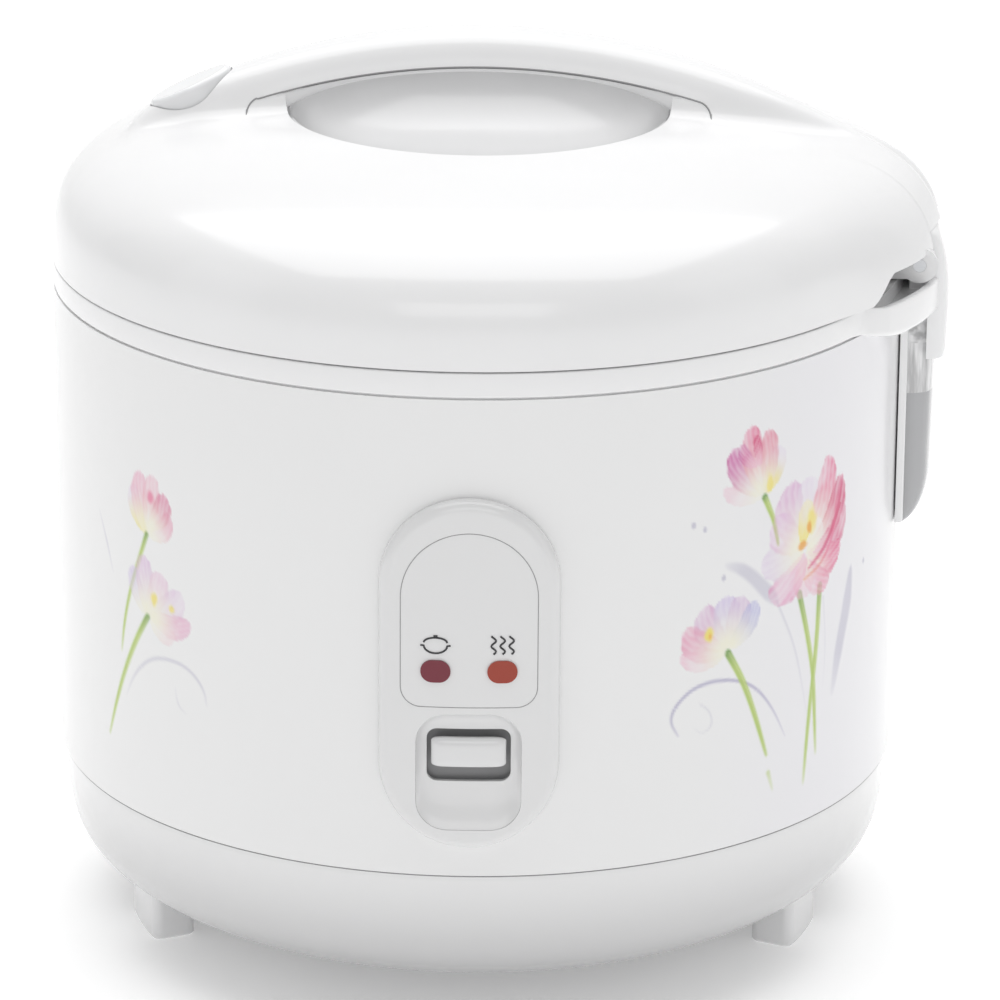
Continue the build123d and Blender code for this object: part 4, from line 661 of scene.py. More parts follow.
def cup_section(height, inset):
    """The dew cup's outline at a height: bowed outside, hugging the body inside."""
    y = np.linspace(-CUP_HALF + inset, CUP_HALF - inset, 49)
    bulge = 82.9 - 0.9 * np.clip((CUP_TOP - height) / 50, 0, 1) - inset
    outside = 59.25 + np.sqrt(bulge**2 - y**2)
    inside = np.sqrt((133.05 + inset) ** 2 - y**2)
    sag = np.clip((height - CUP_BOTTOM + 0.25) / 17, 0, 1)
    outside = inside + (outside - inside) * np.sqrt(1 - (1 - sag) ** 2)
    corner = (1 - np.abs(y / (CUP_HALF - inset + 0.05)) ** 14) ** 0.5
    outside = inside + (outside - inside) * (0.25 + 0.75 * corner)
    x = np.concatenate([outside, inside[::-1]])
    return np.stack([x, np.concatenate([y, y[::-1]]), np.full(len(x), height)], -1)


def make_cup():
    """A thin-walled cup with a rounded foot, open at the top."""
    rise = CUP_BOTTOM + (CUP_TOP - CUP_BOTTOM) * np.linspace(0, 1, 44) ** 1.5
    outer = [cup_section(z, 0.0) for z in rise]
    deep = CUP_BOTTOM + 2.0 + (CUP_TOP - CUP_BOTTOM - 2.0) * np.linspace(1, 0, 30) ** 1.4
    return loft("dew_cup", outer + [cup_section(z, 1.2) for z in deep], 40)


def make_mount():
    """The plate that holds the cup, with a rail along each side standing just off the body."""
    side = np.linspace(0, 1, 9)
    rail = [(22.7, 131.0), (22.7, 131.1), (23.0, 131.6), (23.6, 131.8), (24.3, 131.6), (24.6, 131.1), (24.6, 129.35)]
    front_r, back_r = 132.6, 131.45
    half = np.array([(y, sqrt(front_r**2 - y**2)) for y in 22.5 * side] + rail)
    back = np.array([(y, sqrt(back_r**2 - y**2)) for y in 24.5 - 24.5 * np.linspace(0.02, 1, 10)])
    around = np.concatenate([half, back])
    mirrored = around[::-1] * [-1, 1]
    section = np.concatenate([around, mirrored[1:-1]])
    loops = []
    for z, grow_by in ((133.4, -0.5), (133.8, -0.15), (134.4, 0.0), (168.0, 0.0), (200.4, 0.0)):
        y, x = section.T
        loops.append(np.stack([x + grow_by * (x > back_r - 0.05), y, np.full(len(y), z)], -1))
    return loft("cup_mount", loops, 50)


# ---------------------------------------------------------------- pieces that follow a path


def socket_id(tree, name):
    return next(item.identifier for item in tree.interface.items_tree if item.name == name and item.in_out == "INPUT")


def swept_tree(name, numbers, path_kind, feeds, wire, fixed=None):
    """A node tree that sweeps a circle of the radius called wire along a path, and ends in real, painted geometry."""
    tree = bpy.data.node_groups.new(name, "GeometryNodeTree")
    socket = tree.interface.new_socket
    socket("Geometry", in_out="INPUT", socket_type="NodeSocketGeometry")
    for label, value in numbers.items():
        socket(label, in_out="INPUT", socket_type="NodeSocketFloat").default_value = value
    socket("Finish", in_out="INPUT", socket_type="NodeSocketMaterial")
    socket("Geometry", in_out="OUTPUT", socket_type="NodeSocketGeometry")
    kinds = ["NodeGroupInput", "NodeGroupOutput", path_kind]
    makers = "CurvePrimitiveCircle", "CurveToMesh", "RealizeInstances", "SetMaterial"
    kinds += ["GeometryNode" + maker for maker in makers]
    given, out, path, ring, sweep, real, paint = (tree.nodes.new(kind) for kind in kinds)
    for label, value in (fixed or {}).items():
        path.inputs[label].default_value = value
    ring.inputs["Resolution"].default_value = 10
    sweep.inputs["Fill Caps"].default_value = True
    wires = [(given, source, path, target) for target, source in feeds.items()]
    wires += [(given, wire, ring, "Radius"), (path, "Curve", sweep, "Curve"), (ring, "Curve", sweep, "Profile Curve")]
    wires += [(sweep, "Mesh", real, "Geometry"), (real, "Geometry", paint, "Geometry")]
    wires += [(given, "Finish", paint, "Material"), (paint, "Geometry", out, "Geometry")]
    for first, output, second, label in wires:
        tree.links.new(first.outputs[output], second.inputs[label])
    return tree


def cord_tree():
    """A round cord along the piece's own edges."""
    return swept_tree("cord_along_path", {"Radius": 0.0003}, "GeometryNodeMeshToCurve", {"Mesh": "Geometry"}, "Radius")


def spring_tree():
    """A coil of round wire, standing on the ground about the upright axis."""
    sizes = {"Radius": 0.006, "Height": 0.02, "Turns": 6.0, "Wire": 0.0005}
    feeds = {"Start Radius": "Radius", "End Radius": "Radius", "Height": "Height", "Rotations": "Turns"}
    return swept_tree("coil_spring", sizes, "GeometryNodeCurveSpiral", feeds, "Wire", {"Resolution": 40})


def grow(obj, tree, surface, numbers, place=None):
    """Runs a node tree on the object with these numbers, and keeps the mesh it makes."""
    step = obj.modifiers.new("grow", "NODES")
    step.node_group = tree
    for label, value in numbers.items():
        step[socket_id(tree, label)] = value
    step[socket_id(tree, "Finish")] = surface.material
    settle(obj, 60)
    if place is not None:
        obj.data.transform(place)
    face_outward(obj.data)
    return obj


def path_object(name, paths):
    points, edges = [], []
    for path in paths:
        start = len(points)
        points += (np.asarray(path) * MM).tolist()
        edges += [(start + i, start + i + 1) for i in range(len(path) - 1)]
    mesh = bpy.data.meshes.new(name)
    mesh.from_pydata(points, edges, [])
    return add(name, mesh)


# ---------------------------------------------------------------- control panel

PANEL_R = -box_mm("control_bezel")[0][1]
KNOB_LOW, KNOB_HIGH = box_mm("switch_knob")
LENS_Z = 123.8
LENS_X = 9.75
PANEL_WIDTH, PANEL_HEIGHT, PANEL_MIDDLE = 53.0, 108.0, 121.8
PANEL_BACK, PANEL_EDGE = 131.5, 132.2
HOLLOW_MIDDLE, HOLLOW_FLOOR = 92.3, 132.1
SLOT_MIDDLE = 96.75


def on_cylinder(x, z, radius):
    """A front point of an upright cylinder."""
    return np.stack([x, -np.sqrt(radius**2 - x**2), z + 0 * x], -1)


def rounded_box(width, height, middle, corner, per_corner=10, per_side=9):
    """A rounded rectangle's outline as x and z, from the same number of points whatever its size."""
    x, z = [], []
    bend = np.radians(np.linspace(0, 90, per_corner))
    across, up = width / 2 - corner, height / 2 - corner
    share = np.linspace(0, 1, per_side + 2)[1:-1]
    corners = (1, 1), (-1, 1), (-1, -1), (1, -1)
    for turn, (sx, sz) in enumerate(corners):
        arc = bend + turn * pi / 2
        x.append(sx * across + corner * np.cos(arc))
        z.append(middle + sz * up + corner * np.sin(arc))
        next_x, next_z = corners[(turn + 1) % 4]
        x.append(x[-1][-1] + share * (next_x * across + corner * cos(arc[-1]) - x[-1][-1]))
        z.append(z[-1][-1] + share * (middle + next_z * up + corner * sin(arc[-1]) - z[-1][-1]))
    return np.concatenate(x), np.concatenate(z)


def make_bezel():
    """The panel's body, with a generous soft edge, hollowed for the switch and the lamps."""

    def stadium(inset, radius):
        width = PANEL_WIDTH - 2 * inset
        outline = rounded_box(width, PANEL_HEIGHT - 2 * inset, PANEL_MIDDLE, width / 2 - 0.05, 20, 13)
        return on_cylinder(*outline, radius)

    loops = [stadium(inset, PANEL_BACK - 0.48) for inset in (26.3, 20.0, 12.0, 4.0, 0.1)]
    loops += [stadium(0.0, PANEL_BACK), stadium(0.0, PANEL_EDGE)]
    for t in np.radians(np.linspace(0, 90, 12))[1:]:
        loops.append(stadium(3.4 * (1 - cos(t)), PANEL_EDGE + (PANEL_R - PANEL_EDGE) * sin(t)))
    loops += [stadium(inset, PANEL_R) for inset in (4.4, 6.0, 8.0, 11.0, 14.0, 17.0, 20.0, 23.0, 26.3)]
    bezel = loft("panel_bezel", loops, 40)
    lens_x, lens_z = rounded_box(8.8, 6.8, LENS_Z, 3.35)
    cuts = [(*rounded_box(31.0, 36.4, HOLLOW_MIDDLE, 9.0), 132.15, 138.0)]
    cuts += [(*rounded_box(24.6, 16.3, SLOT_MIDDLE, 3.0), 127.0, 138.5)]
    cuts += [(lens_x + side * LENS_X, lens_z, 127.5, 138.2) for side in (-1, 1)]
    cutters = [loft("hole", [on_cylinder(x, z, radius) for radius in depths]) for x, z, *depths in cuts]
    return cut(bezel, *cutters, crease=40)


def make_scoop():
    """The thumb hollow round the switch: steep at its rim and easing towards the slot."""
    wide_x, wide_z = rounded_box(30.9, 36.3, HOLLOW_MIDDLE, 8.95)
    slot_x, slot_z = rounded_box(24.7, 16.4, SLOT_MIDDLE, 3.05)
    loops = []
    for t in np.linspace(0, 1, 16):
        radius = 134.95 - 2.62 * (1 - (1 - t) ** 2.4)
        loops.append(on_cylinder(wide_x + (slot_x - wide_x) * t, wide_z + (slot_z - wide_z) * t, radius))
    loops += [on_cylinder(slot_x, slot_z, HOLLOW_FLOOR), on_cylinder(wide_x, wide_z, HOLLOW_FLOOR)]
    points = np.array(loops)
    faces = grid_faces(len(loops), points.shape[1], True, True)
    return put("switch_hollow", points.reshape(-1, 3), faces, 50)


def make_knob():
    """A bowed key with soft ends, its stalk, and the apron that closes the slot behind it."""
    middle, tall = (KNOB_LOW[2] + KNOB_HIGH[2]) / 2, KNOB_HIGH[2] - KNOB_LOW[2]
    turn = np.linspace(0, 2 * pi, 40, endpoint=False)
    loops = []
    for share in np.sin(np.radians(np.linspace(-90, 90, 33))):
        end = (1 - abs(share * 0.9995) ** 9) ** 0.5
        z = middle + tall / 2 * (0.72 + 0.28 * end) * np.sign(np.sin(turn)) * np.abs(np.sin(turn)) ** 0.7
        out = 132.9 + 1.9 * end * np.sign(np.cos(turn)) * np.abs(np.cos(turn)) ** 0.8
        x = np.full_like(z, share * 11.0)
        loops.append(np.stack([x, -np.sqrt(out**2 - x**2), z], -1))
    key = loft("knob_key", loops, 50)
    corners = (4, middle + 3), (-4, middle + 3), (-4, middle - 3), (4, middle - 3)
    stalk = [[(x, y, z) for x, z in corners] for y in (-132.5, -120.0)]
    apron_x, apron_z = rounded_box(26.6, 24.8, middle - 1.2, 2.0)
    apron = [on_cylinder(apron_x, apron_z, radius) for radius in (129.2, 129.9)]
    return key, loft("knob_stalk", stalk), loft("knob_apron", apron)


def label_outline():
    """The label's edge, closed: an arch above, rounded corners below."""
    half, corner, low, high = 20.0, 6.0, 112.6, 166.1
    arch = np.radians(np.linspace(0, 180, 61))
    bend = np.radians(np.linspace(180, 270, 12))[1:]
    down = np.linspace(high - half, low + corner, 12)[1:]
    foot = low + corner
    runs = [(half * np.cos(arch), high - half + half * np.sin(arch)), (np.full(11, -half), down)]
    runs += [(-half + corner + corner * np.cos(bend), foot + corner * np.sin(bend))]
    runs += [(np.linspace(-half + corner, half - corner, 14)[1:], np.full(13, low))]
    runs += [(half - corner + corner * np.cos(bend + pi / 2), foot + corner * np.sin(bend + pi / 2))]
    runs += [(np.full(10, half), down[::-1][1:]), ([half], [high - half])]
    x, z = (np.concatenate(run) for run in zip(*runs))
    return x, z


def make_marks():
    """Plain signs above the lamps: a covered pot, and rising warmth."""

    def line(points):
        points = np.array(points, float)
        return on_cylinder(points[:, 0], points[:, 1], PANEL_R + 0.02)

    bend = np.radians(np.linspace(180, 360, 13))
    pot = [(-LENS_X + 3.4 * cos(b), 131.6 + 2.3 * sin(b)) for b in bend]
    cover = [(-LENS_X + 3.4 * cos(b), 132.6 + 1.5 * sin(b)) for b in np.radians(np.linspace(180, 0, 13))]
    knob = [(-LENS_X - 0.6, 134.6), (-LENS_X + 0.6, 134.6)]
    paths = [line([(-LENS_X - 4.4, 131.7)] + pot + [(-LENS_X + 4.4, 131.7)]), line(cover), line(knob)]
    for side in (-2.6, 0.0, 2.6):
        z = np.linspace(129.2, 134.8, 15)
        paths.append(line(np.stack([LENS_X + side + 0.7 * np.sin((z - 129.2) * 1.9), z], -1)))
    return paths


# ---------------------------------------------------------------- printed shell


class Print:
    """Washes of colour laid on the unrolled shell. Places are (arc from the front, height) in millimetres."""

    def __init__(self, arc, height, ground):
        self.arc = arc
        self.height = height
        self.colour = np.ones((len(arc), 3)) * np.array(ground)
        self.grain = self.wave(0.9) * 0.5 + self.wave(2.3) * 0.3 + self.wave(5.1) * 0.2

    def wave(self, size):
        a, z = self.arc / size, self.height / size
        return 0.5 + 0.25 * (np.sin(a * 1.7 + 1.3 * np.sin(z * 0.9)) + np.sin(z * 1.3 + 1.7 * np.sin(a * 0.7 + 0.5)))

    def lay(self, cover, colour):
        cover = np.clip(cover, 0, 1)[:, None]
        self.colour = self.colour * (1 - cover) + np.asarray(colour) * cover

    def petal(self, base, tip, width, inner, outer, strength=0.9, bend=0.0, vein=0.5, rim=0.5):
        """A petal from base to tip, coloured from inner to outer, with veins and a darker rim."""
        base, tip = np.array(base, float), np.array(tip, float)
        length = np.hypot(*(tip - base))
        along = (tip - base) / length
        a, z = self.arc - base[0], self.height - base[1]
        u = (a * along[0] + z * along[1]) / length
        v = (-a * along[1] + z * along[0]) - bend * length * u * (1 - u) * 4
        t = np.clip(u, 0, 1)
        half = width / 2 * (np.sqrt(np.maximum(t, 0)) * np.sqrt(np.maximum(1 - t**3, 0)) * 1.25 + 0.03)
        ragged = (self.grain - 0.5) * 0.28 * width / 2
        away = np.abs(v) / np.maximum(half + ragged * t, 0.05)
        cover = smoothstep((1.06 - away) / 0.16) * smoothstep(u / 0.08) * smoothstep((1.04 - u) / 0.1)
        lines = 0.5 + 0.5 * np.cos(v / width * 34 + 2.2 * np.sin(u * 5) + self.grain * 3)
        shade = smoothstep(t * 1.25 - 0.15)[:, None]
        tone = np.array(inner) * (1 - shade) + np.array(outer) * shade
        edge = smoothstep((away - 0.55) / 0.45) * rim * t
        tone = tone * (1 - 0.28 * edge[:, None] * (1.1 - np.array(outer)))
        pale = (1 - vein * lines * (0.35 + 0.65 * t))[:, None]
        tone = tone * pale + np.minimum(tone * 0.5 + 0.5, 1) * (1 - pale)
        wash = 1 - 0.45 * smoothstep((self.wave(4.3) - 0.45) / 0.4) * smoothstep((u - 0.15) / 0.5)
        self.lay(cover * strength * (0.66 + 0.3 * self.grain) * wash, tone)

    def stroke(self, points, width, colours, strength=0.85, soft=0.5):
        """A line through the points, its width and colour running from first to last."""
        points = np.array(points, float)
        for _ in range(3):
            cutting = [points[:1]]
            for first, second in zip(points[:-1], points[1:]):
                cutting += [[first * 0.75 + second * 0.25], [first * 0.25 + second * 0.75]]
            points = np.concatenate(cutting + [points[-1:]])
        spots = np.linspace(0, 1, len(points))
        widths = np.interp(spots, np.linspace(0, 1, len(width)), width)
        steps = np.linspace(0, 1, len(colours))
        tones = np.stack([np.interp(spots, steps, channel) for channel in np.array(colours, float).T], -1)
        best = np.full(len(self.arc), 1e9)
        tone = np.zeros((len(self.arc), 4))
        wide = np.zeros(len(self.arc))
        for i in range(len(points) - 1):
            start, run = points[i], points[i + 1] - points[i]
            a, z = self.arc - start[0], self.height - start[1]
            t = np.clip((a * run[0] + z * run[1]) / (run @ run), 0, 1)
            gap = np.hypot(a - t * run[0], z - t * run[1])
            nearer = gap < best
            best = np.where(nearer, gap, best)
            tone = np.where(nearer[:, None], tones[i] + (tones[i + 1] - tones[i]) * t[:, None], tone)
            wide = np.where(nearer, widths[i] + (widths[i + 1] - widths[i]) * t, wide)
        cover = smoothstep((wide / 2 + soft - best) / (2 * soft))
        self.lay(cover * strength * tone[:, 3], tone[:, :3])

    def dab(self, place, size, colour, strength=0.9):
        gap = np.hypot((self.arc - place[0]) / size[0], (self.height - place[1]) / size[1])
        gap = gap + (self.grain - 0.5) * 0.5
        self.lay(smoothstep((1.2 - gap) / 0.7) * strength, colour)


PRINT_SHIFT = 2.05
GROUND = (0.985, 0.985, 0.985)
ROSE = (0.93, 0.42, 0.58)
DEEP_ROSE = (0.85, 0.26, 0.44)
MAGENTA = (0.80, 0.30, 0.60)
BLUSH = (0.97, 0.76, 0.84)
PALE_LILAC = (0.93, 0.87, 0.95)
CREAM = (0.99, 0.98, 0.90)
LEMON = (0.99, 0.92, 0.48)
ORANGE = (0.96, 0.66, 0.30)
LEAF = (0.72, 0.82, 0.42)
DARK_LEAF = (0.46, 0.62, 0.32)
MIST = (0.78, 0.77, 0.84)
VIOLET_GREY = (0.70, 0.68, 0.80)


def stem(sheet, points, width=2.2, faint_end=0.5):
    width *= 0.82
    dark, green = (*DARK_LEAF, 1.0), (*LEAF, 1.0)
    greens = (dark, green, green, green, (*LEAF, faint_end))
    sheet.stroke(points, (width * 1.15, width, width * 0.8, width * 0.45), greens, 0.9, 0.45)
    glints = ((*CREAM, 0.5), (*CREAM, 0.6), (*CREAM, 0.0))
    sheet.stroke(np.array(points) + [0.45, 0], (0.6, 0.5, 0.4, 0.2), glints, 0.5, 0.3)


def right_flowers(sheet):
    stroke, petal, dab = sheet.stroke, sheet.petal, sheet.dab
    mist, none = (*MIST, 0.9), (*MIST, 0.0)
    thin = (*MIST, 0.8)
    stroke([(136, 133), (134, 121), (130, 110), (126, 94)], (0.6, 5.2, 4.6, 0.6), (mist, thin, thin, none), 0.75, 0.9)
    stroke([(77, 148), (85, 145), (94, 136), (99, 131)], (0.6, 3.6, 4.6, 0.8), (none, mist, mist, none), 0.6, 0.8)
    stroke([(98, 132), (106, 117), (110, 104), (113, 92)], (0.8, 0.7, 0.5), ((*MIST, 0.7), (*MIST, 0.5), none), 0.6)
    stroke([(120, 128), (122, 112), (121, 98)], (0.6, 0.5, 0.4), ((*MIST, 0.5), (*MIST, 0.4), none), 0.5)
    swirl = [(103, 88), (97, 99), (89, 108), (79, 112), (68, 112), (61, 107), (59, 102), (62, 97)]
    line = (*VIOLET_GREY, 0.9)
    greys = ((*VIOLET_GREY, 0.2), line, line, line, (*VIOLET_GREY, 0.4))
    stroke(swirl, (0.3, 0.8, 1.1, 0.9, 0.5), greys, 0.8, 0.4)
    curl = [(69, 106), (73, 103), (74, 98), (70, 96), (67, 99)]
    stroke(curl, (0.4, 0.5, 0.3), ((*MIST, 0.6), (*MIST, 0.7), none), 0.5, 0.4)
    stem(sheet, [(92, 166), (94, 162), (96, 158), (98, 150)], 2.4, 0.9)
    stem(sheet, [(108, 132), (113, 116), (116, 103), (117, 90), (118, 78)], 2.4, 0.1)
    stem(sheet, [(118, 132), (117, 112), (114, 92), (112, 70)], 2.5, 0.1)
    stem(sheet, [(79, 120), (85, 110), (90, 98), (95, 84)], 2.6, 0.7)
    stroke([(96, 78), (98, 72)], (1.6, 0.6), ((*LEAF, 0.7), (*LEAF, 0.2)), 0.7, 0.5)
    # bud
    petal((92, 167), (76, 171), 6, CREAM, BLUSH, 0.5, 0.1, 0.3, 0.3)
    petal((92, 167), (98, 181), 9, LEMON, PALE_LILAC, 0.75, -0.05, 0.2, 0.3)
    petal((92, 167), (79, 183), 9, CREAM, MAGENTA, 0.8, 0.12, 0.7, 0.8)
    petal((92, 167), (86, 189), 10, CREAM, ROSE, 0.85, 0.06, 0.7, 0.8)
    petal((92, 167), (93, 187), 8, CREAM, (0.93, 0.52, 0.62), 0.8, -0.06, 0.6, 0.7)
    petal((89, 176), (82, 184), 5, BLUSH, MAGENTA, 0.8, 0.1, 0.8, 0.9)
    petal((90, 176), (88, 186), 4, BLUSH, DEEP_ROSE, 0.8, 0.0, 0.8, 0.9)
    dab((94, 170), (1.4, 3.2), LEMON, 0.7)
    # open flower
    petal((110, 146), (103, 168), 15, CREAM, (0.90, 0.70, 0.86), 0.8, 0.14, 0.6, 0.6)
    petal((110, 146), (112, 168), 14, CREAM, PALE_LILAC, 0.7, 0.0, 0.4, 0.3)
    petal((110, 146), (122, 172), 12, CREAM, ROSE, 0.85, -0.1, 0.8, 0.7)
    petal((111, 144), (129, 164), 11, CREAM, DEEP_ROSE, 0.9, -0.16, 0.8, 0.8)
    petal((111, 143), (131, 155), 11, BLUSH, DEEP_ROSE, 0.9, -0.2, 0.8, 0.8)
    petal((110, 142), (129, 142), 11, CREAM, ROSE, 0.9, -0.16, 0.8, 0.8)
    petal((110, 142), (122, 131), 10, BLUSH, (0.95, 0.62, 0.72), 0.85, -0.1, 0.7, 0.6)
    petal((110, 143), (110, 130), 11, CREAM, BLUSH, 0.8, 0.0, 0.5, 0.4)
    petal((111, 144), (95, 133), 12, BLUSH, (0.93, 0.62, 0.78), 0.85, 0.12, 0.7, 0.6)
    petal((110, 146), (91, 144), 12, CREAM, PALE_LILAC, 0.8, 0.05, 0.5, 0.5)
    petal((110, 147), (96, 158), 13, CREAM, (0.92, 0.74, 0.90), 0.85, 0.1, 0.5, 0.6)
    deep = ((*DEEP_ROSE, 0.7), (*DEEP_ROSE, 0.9), (*DEEP_ROSE, 0.6))
    stroke([(112, 139), (121, 144), (127, 154), (129, 164)], (0.6, 1.6, 1.8, 0.7), deep, 0.75)
    warm = ((*ORANGE, 0.6), (*ROSE, 0.9), (*ROSE, 0.5))
    stroke([(110, 136), (119, 139), (125, 147), (126, 158)], (0.5, 1.0, 1.1, 0.5), warm, 0.7)
    petal((111, 143), (117, 154), 7, CREAM, (0.99, 0.97, 0.97), 0.9, -0.1, 0.1, 0.3)
    petal((109, 147), (111, 161), 8, LEMON, (0.99, 0.96, 0.78), 0.85, 0.0, 0.4, 0.3)
    dab((113, 154), (2.6, 4.6), LEMON, 0.75)
    dab((112, 152), (1.3, 2.2), ORANGE, 0.8)
    dab((109, 147), (2.4, 1.6), ORANGE, 0.8)
    # lower flower
    petal((79, 121), (70, 136), 11, CREAM, (0.87, 0.66, 0.84), 0.8, 0.14, 0.6, 0.8)
    petal((79, 121), (63, 129), 11, CREAM, (0.94, 0.58, 0.72), 0.75, 0.12, 0.6, 0.8)
    petal((79, 121), (62, 121), 8, CREAM, BLUSH, 0.7, 0.1, 0.4, 0.8)
    petal((79, 121), (78, 138), 11, CREAM, (0.86, 0.80, 0.94), 0.8, 0.0, 0.5, 0.6)
    petal((79, 121), (84, 137), 10, CREAM, (0.88, 0.78, 0.90), 0.8, -0.05, 0.5, 0.6)
    petal((79, 121), (90, 134), 8, CREAM, (0.74, 0.74, 0.92), 0.75, -0.08, 0.6, 0.7)
    dab((72, 127), (1.9, 2.3), LEMON, 0.95)
    dab((72.5, 126.5), (0.8, 1.1), ORANGE, 0.5)
    for place in ((66, 162), (77, 144), (145, 132), (70, 160)):
        dab(place, (0.8, 1.1), MIST, 0.7)


def left_flowers(sheet):
    stroke, petal, dab = sheet.stroke, sheet.petal, sheet.dab
    mist, none = (*MIST, 0.8), (*MIST, 0.0)
    stroke([(-138, 150), (-133, 141), (-129, 131)], (0.5, 1.0, 0.4), (none, mist, none), 0.5, 0.5)
    swirl = [(-123, 94), (-118, 103), (-110, 110), (-101, 112), (-93, 111), (-87, 106), (-86, 100)]
    stroke(swirl, (0.4, 0.9, 1.1, 0.9, 0.4), (none, mist, mist, mist, none), 0.6, 0.45)
    stroke([(-99, 104), (-98, 98), (-94, 96)], (0.3, 0.5, 0.3), (none, mist, none), 0.4, 0.5)
    stem(sheet, [(-111, 149), (-114, 142), (-119, 131), (-123, 119), (-125, 108)], 1.9, 0.15)
    stem(sheet, [(-111, 123), (-117, 114), (-123, 103), (-128, 92), (-133, 79)], 2.3, 0.4)
    # bud
    petal((-111, 149), (-118, 163), 8, LEMON, PALE_LILAC, 0.6, 0.1, 0.3, 0.4)
    petal((-111, 149), (-100, 157), 8, CREAM, (0.95, 0.66, 0.76), 0.7, -0.16, 0.4, 0.9)
    petal((-111, 149), (-114, 168), 9, CREAM, (0.95, 0.62, 0.74), 0.7, 0.1, 0.6, 0.6)
    petal((-110, 149), (-108, 168), 9, CREAM, (0.95, 0.56, 0.68), 0.7, 0.0, 0.6, 0.6)
    petal((-110, 151), (-102, 163), 9, CREAM, (0.88, 0.42, 0.58), 0.7, -0.1, 0.7, 0.7)
    dab((-109, 161), (1.8, 2.6), ROSE, 0.6)
    # open flower
    petal((-111, 123), (-119, 137), 8, CREAM, (0.86, 0.80, 0.94), 0.75, 0.06, 0.5, 0.6)
    petal((-111, 123), (-113, 142), 9, CREAM, (0.90, 0.76, 0.90), 0.75, 0.02, 0.5, 0.6)
    petal((-111, 123), (-104, 138), 10, CREAM, (0.95, 0.82, 0.90), 0.75, -0.04, 0.4, 0.5)
    petal((-111, 123), (-95, 133), 11, CREAM, (0.92, 0.80, 0.92), 0.7, -0.08, 0.4, 0.5)
    petal((-110, 124), (-92, 124), 9, CREAM, (0.94, 0.66, 0.80), 0.7, -0.1, 0.5, 0.8)
    petal((-110, 123), (-99, 118), 8, CREAM, (0.98, 0.88, 0.90), 0.65, -0.05, 0.3, 0.7)
    dab((-108, 129), (1.7, 2.4), LEMON, 0.8)
    dab((-100, 128), (1.4, 1.3), LEMON, 0.75)


def make_shell():
    """The outer wall: one upright sheet, close-set where it is printed, with a slot for the switch."""
    fine, coarse = 0.52, 2.5
    turn = 2 * pi * SHELL_R
    slot_half, slot_low, slot_high = 12.9, 88.2, 105.3
    shell_lip = SHELL_BOTTOM + 0.35
    left, right = np.arange(-142, -80, fine), np.arange(54, 150, fine)
    beside, over = np.arange(-78, -slot_half - 1, coarse), np.linspace(-slot_half, slot_half, 11)
    after, back = np.arange(15.5, 53, coarse), np.arange(152, turn - 144, coarse)
    arc = np.concatenate([left, beside, over, after, right, back])
    heights = np.concatenate([[shell_lip, 60, 63], np.arange(66, 192, 0.62), [195, 198, 201, SHELL_TOP]])
    clear = (np.abs(heights - slot_low) > 0.4) & (np.abs(heights - slot_high) > 0.4)
    heights = np.sort(np.concatenate([heights[clear], [slot_low, slot_high]]))
    columns, rows = len(arc), len(heights)

    def wall(levels, radius):
        """Points of the wall at these levels, and its faces but for those in the switch's slot."""
        a, z = np.meshgrid(arc, levels)
        points = np.stack([radius * np.sin(a / SHELL_R), -radius * np.cos(a / SHELL_R), z], -1).reshape(-1, 3)
        faces = grid_faces(len(levels), columns, wrap_columns=True)
        x, y, z = points[faces].mean(1).T
        return points, faces[~((np.abs(x) < slot_half) & (y < 0) & (z > slot_low) & (z < slot_high))]

    outer, faces = wall(heights, SHELL_R)
    inner, inside = wall([shell_lip, slot_low, slot_high, SHELL_TOP], SHELL_R - 0.8)
    low_row = int(np.argmin(np.abs(heights - slot_low)))
    high_row = int(np.argmin(np.abs(heights - slot_high)))
    start = rows * columns
    joins = []
    for column in range(columns):
        after = (column + 1) % columns
        joins.append((after, column, start + column, start + after))
        top, under = (rows - 1) * columns, start + 3 * columns
        joins.append((top + column, top + after, under + after, under + column))
    first = int(np.argmin(np.abs(arc + slot_half)))
    last = int(np.argmin(np.abs(arc - slot_half)))
    for column in range(first, last):
        for row, line in ((low_row, 1), (high_row, 2)):
            over, under = row * columns + column, start + line * columns + column
            joins.append((over, over + 1, under + 1, under))
    extra = []
    for column in (first, last):
        strip = [row * columns + column for row in range(low_row, high_row + 1)]
        extra.append(strip + [start + 2 * columns + column, start + columns + column])
    every = faces[:, ::-1].tolist() + (inside + start).tolist() + joins + extra
    shell = put("shell_wall", np.concatenate([outer, inner]), every, 35)
    wrapped = (arc + turn / 2) % turn - turn / 2
    sheet = Print(np.tile(wrapped, rows) - PRINT_SHIFT, np.repeat(heights, columns), GROUND)
    # painted light: a faint lavender cast over the body's right side, from 60 to 190 mm of arc, standing in for the
    # tint the light gives that side
    sheet.lay(0.7 * smoothstep((sheet.arc - 60) / 60) * smoothstep((190 - sheet.arc) / 40), (0.972, 0.968, 0.985))
    right_flowers(sheet)
    left_flowers(sheet)
    tint = np.ones((len(shell.data.vertices), 4), np.float32)
    tint[: len(sheet.colour), :3] = np.clip(sheet.colour, 0, 1) ** 2.2
    tint[len(sheet.colour) :, :3] = np.array(GROUND) ** 2.2
    layer = shell.data.color_attributes.new("print", "FLOAT_COLOR", "POINT")
    layer.data.foreach_set("color", tint.ravel())
    return shell


# ---------------------------------------------------------------- finishes

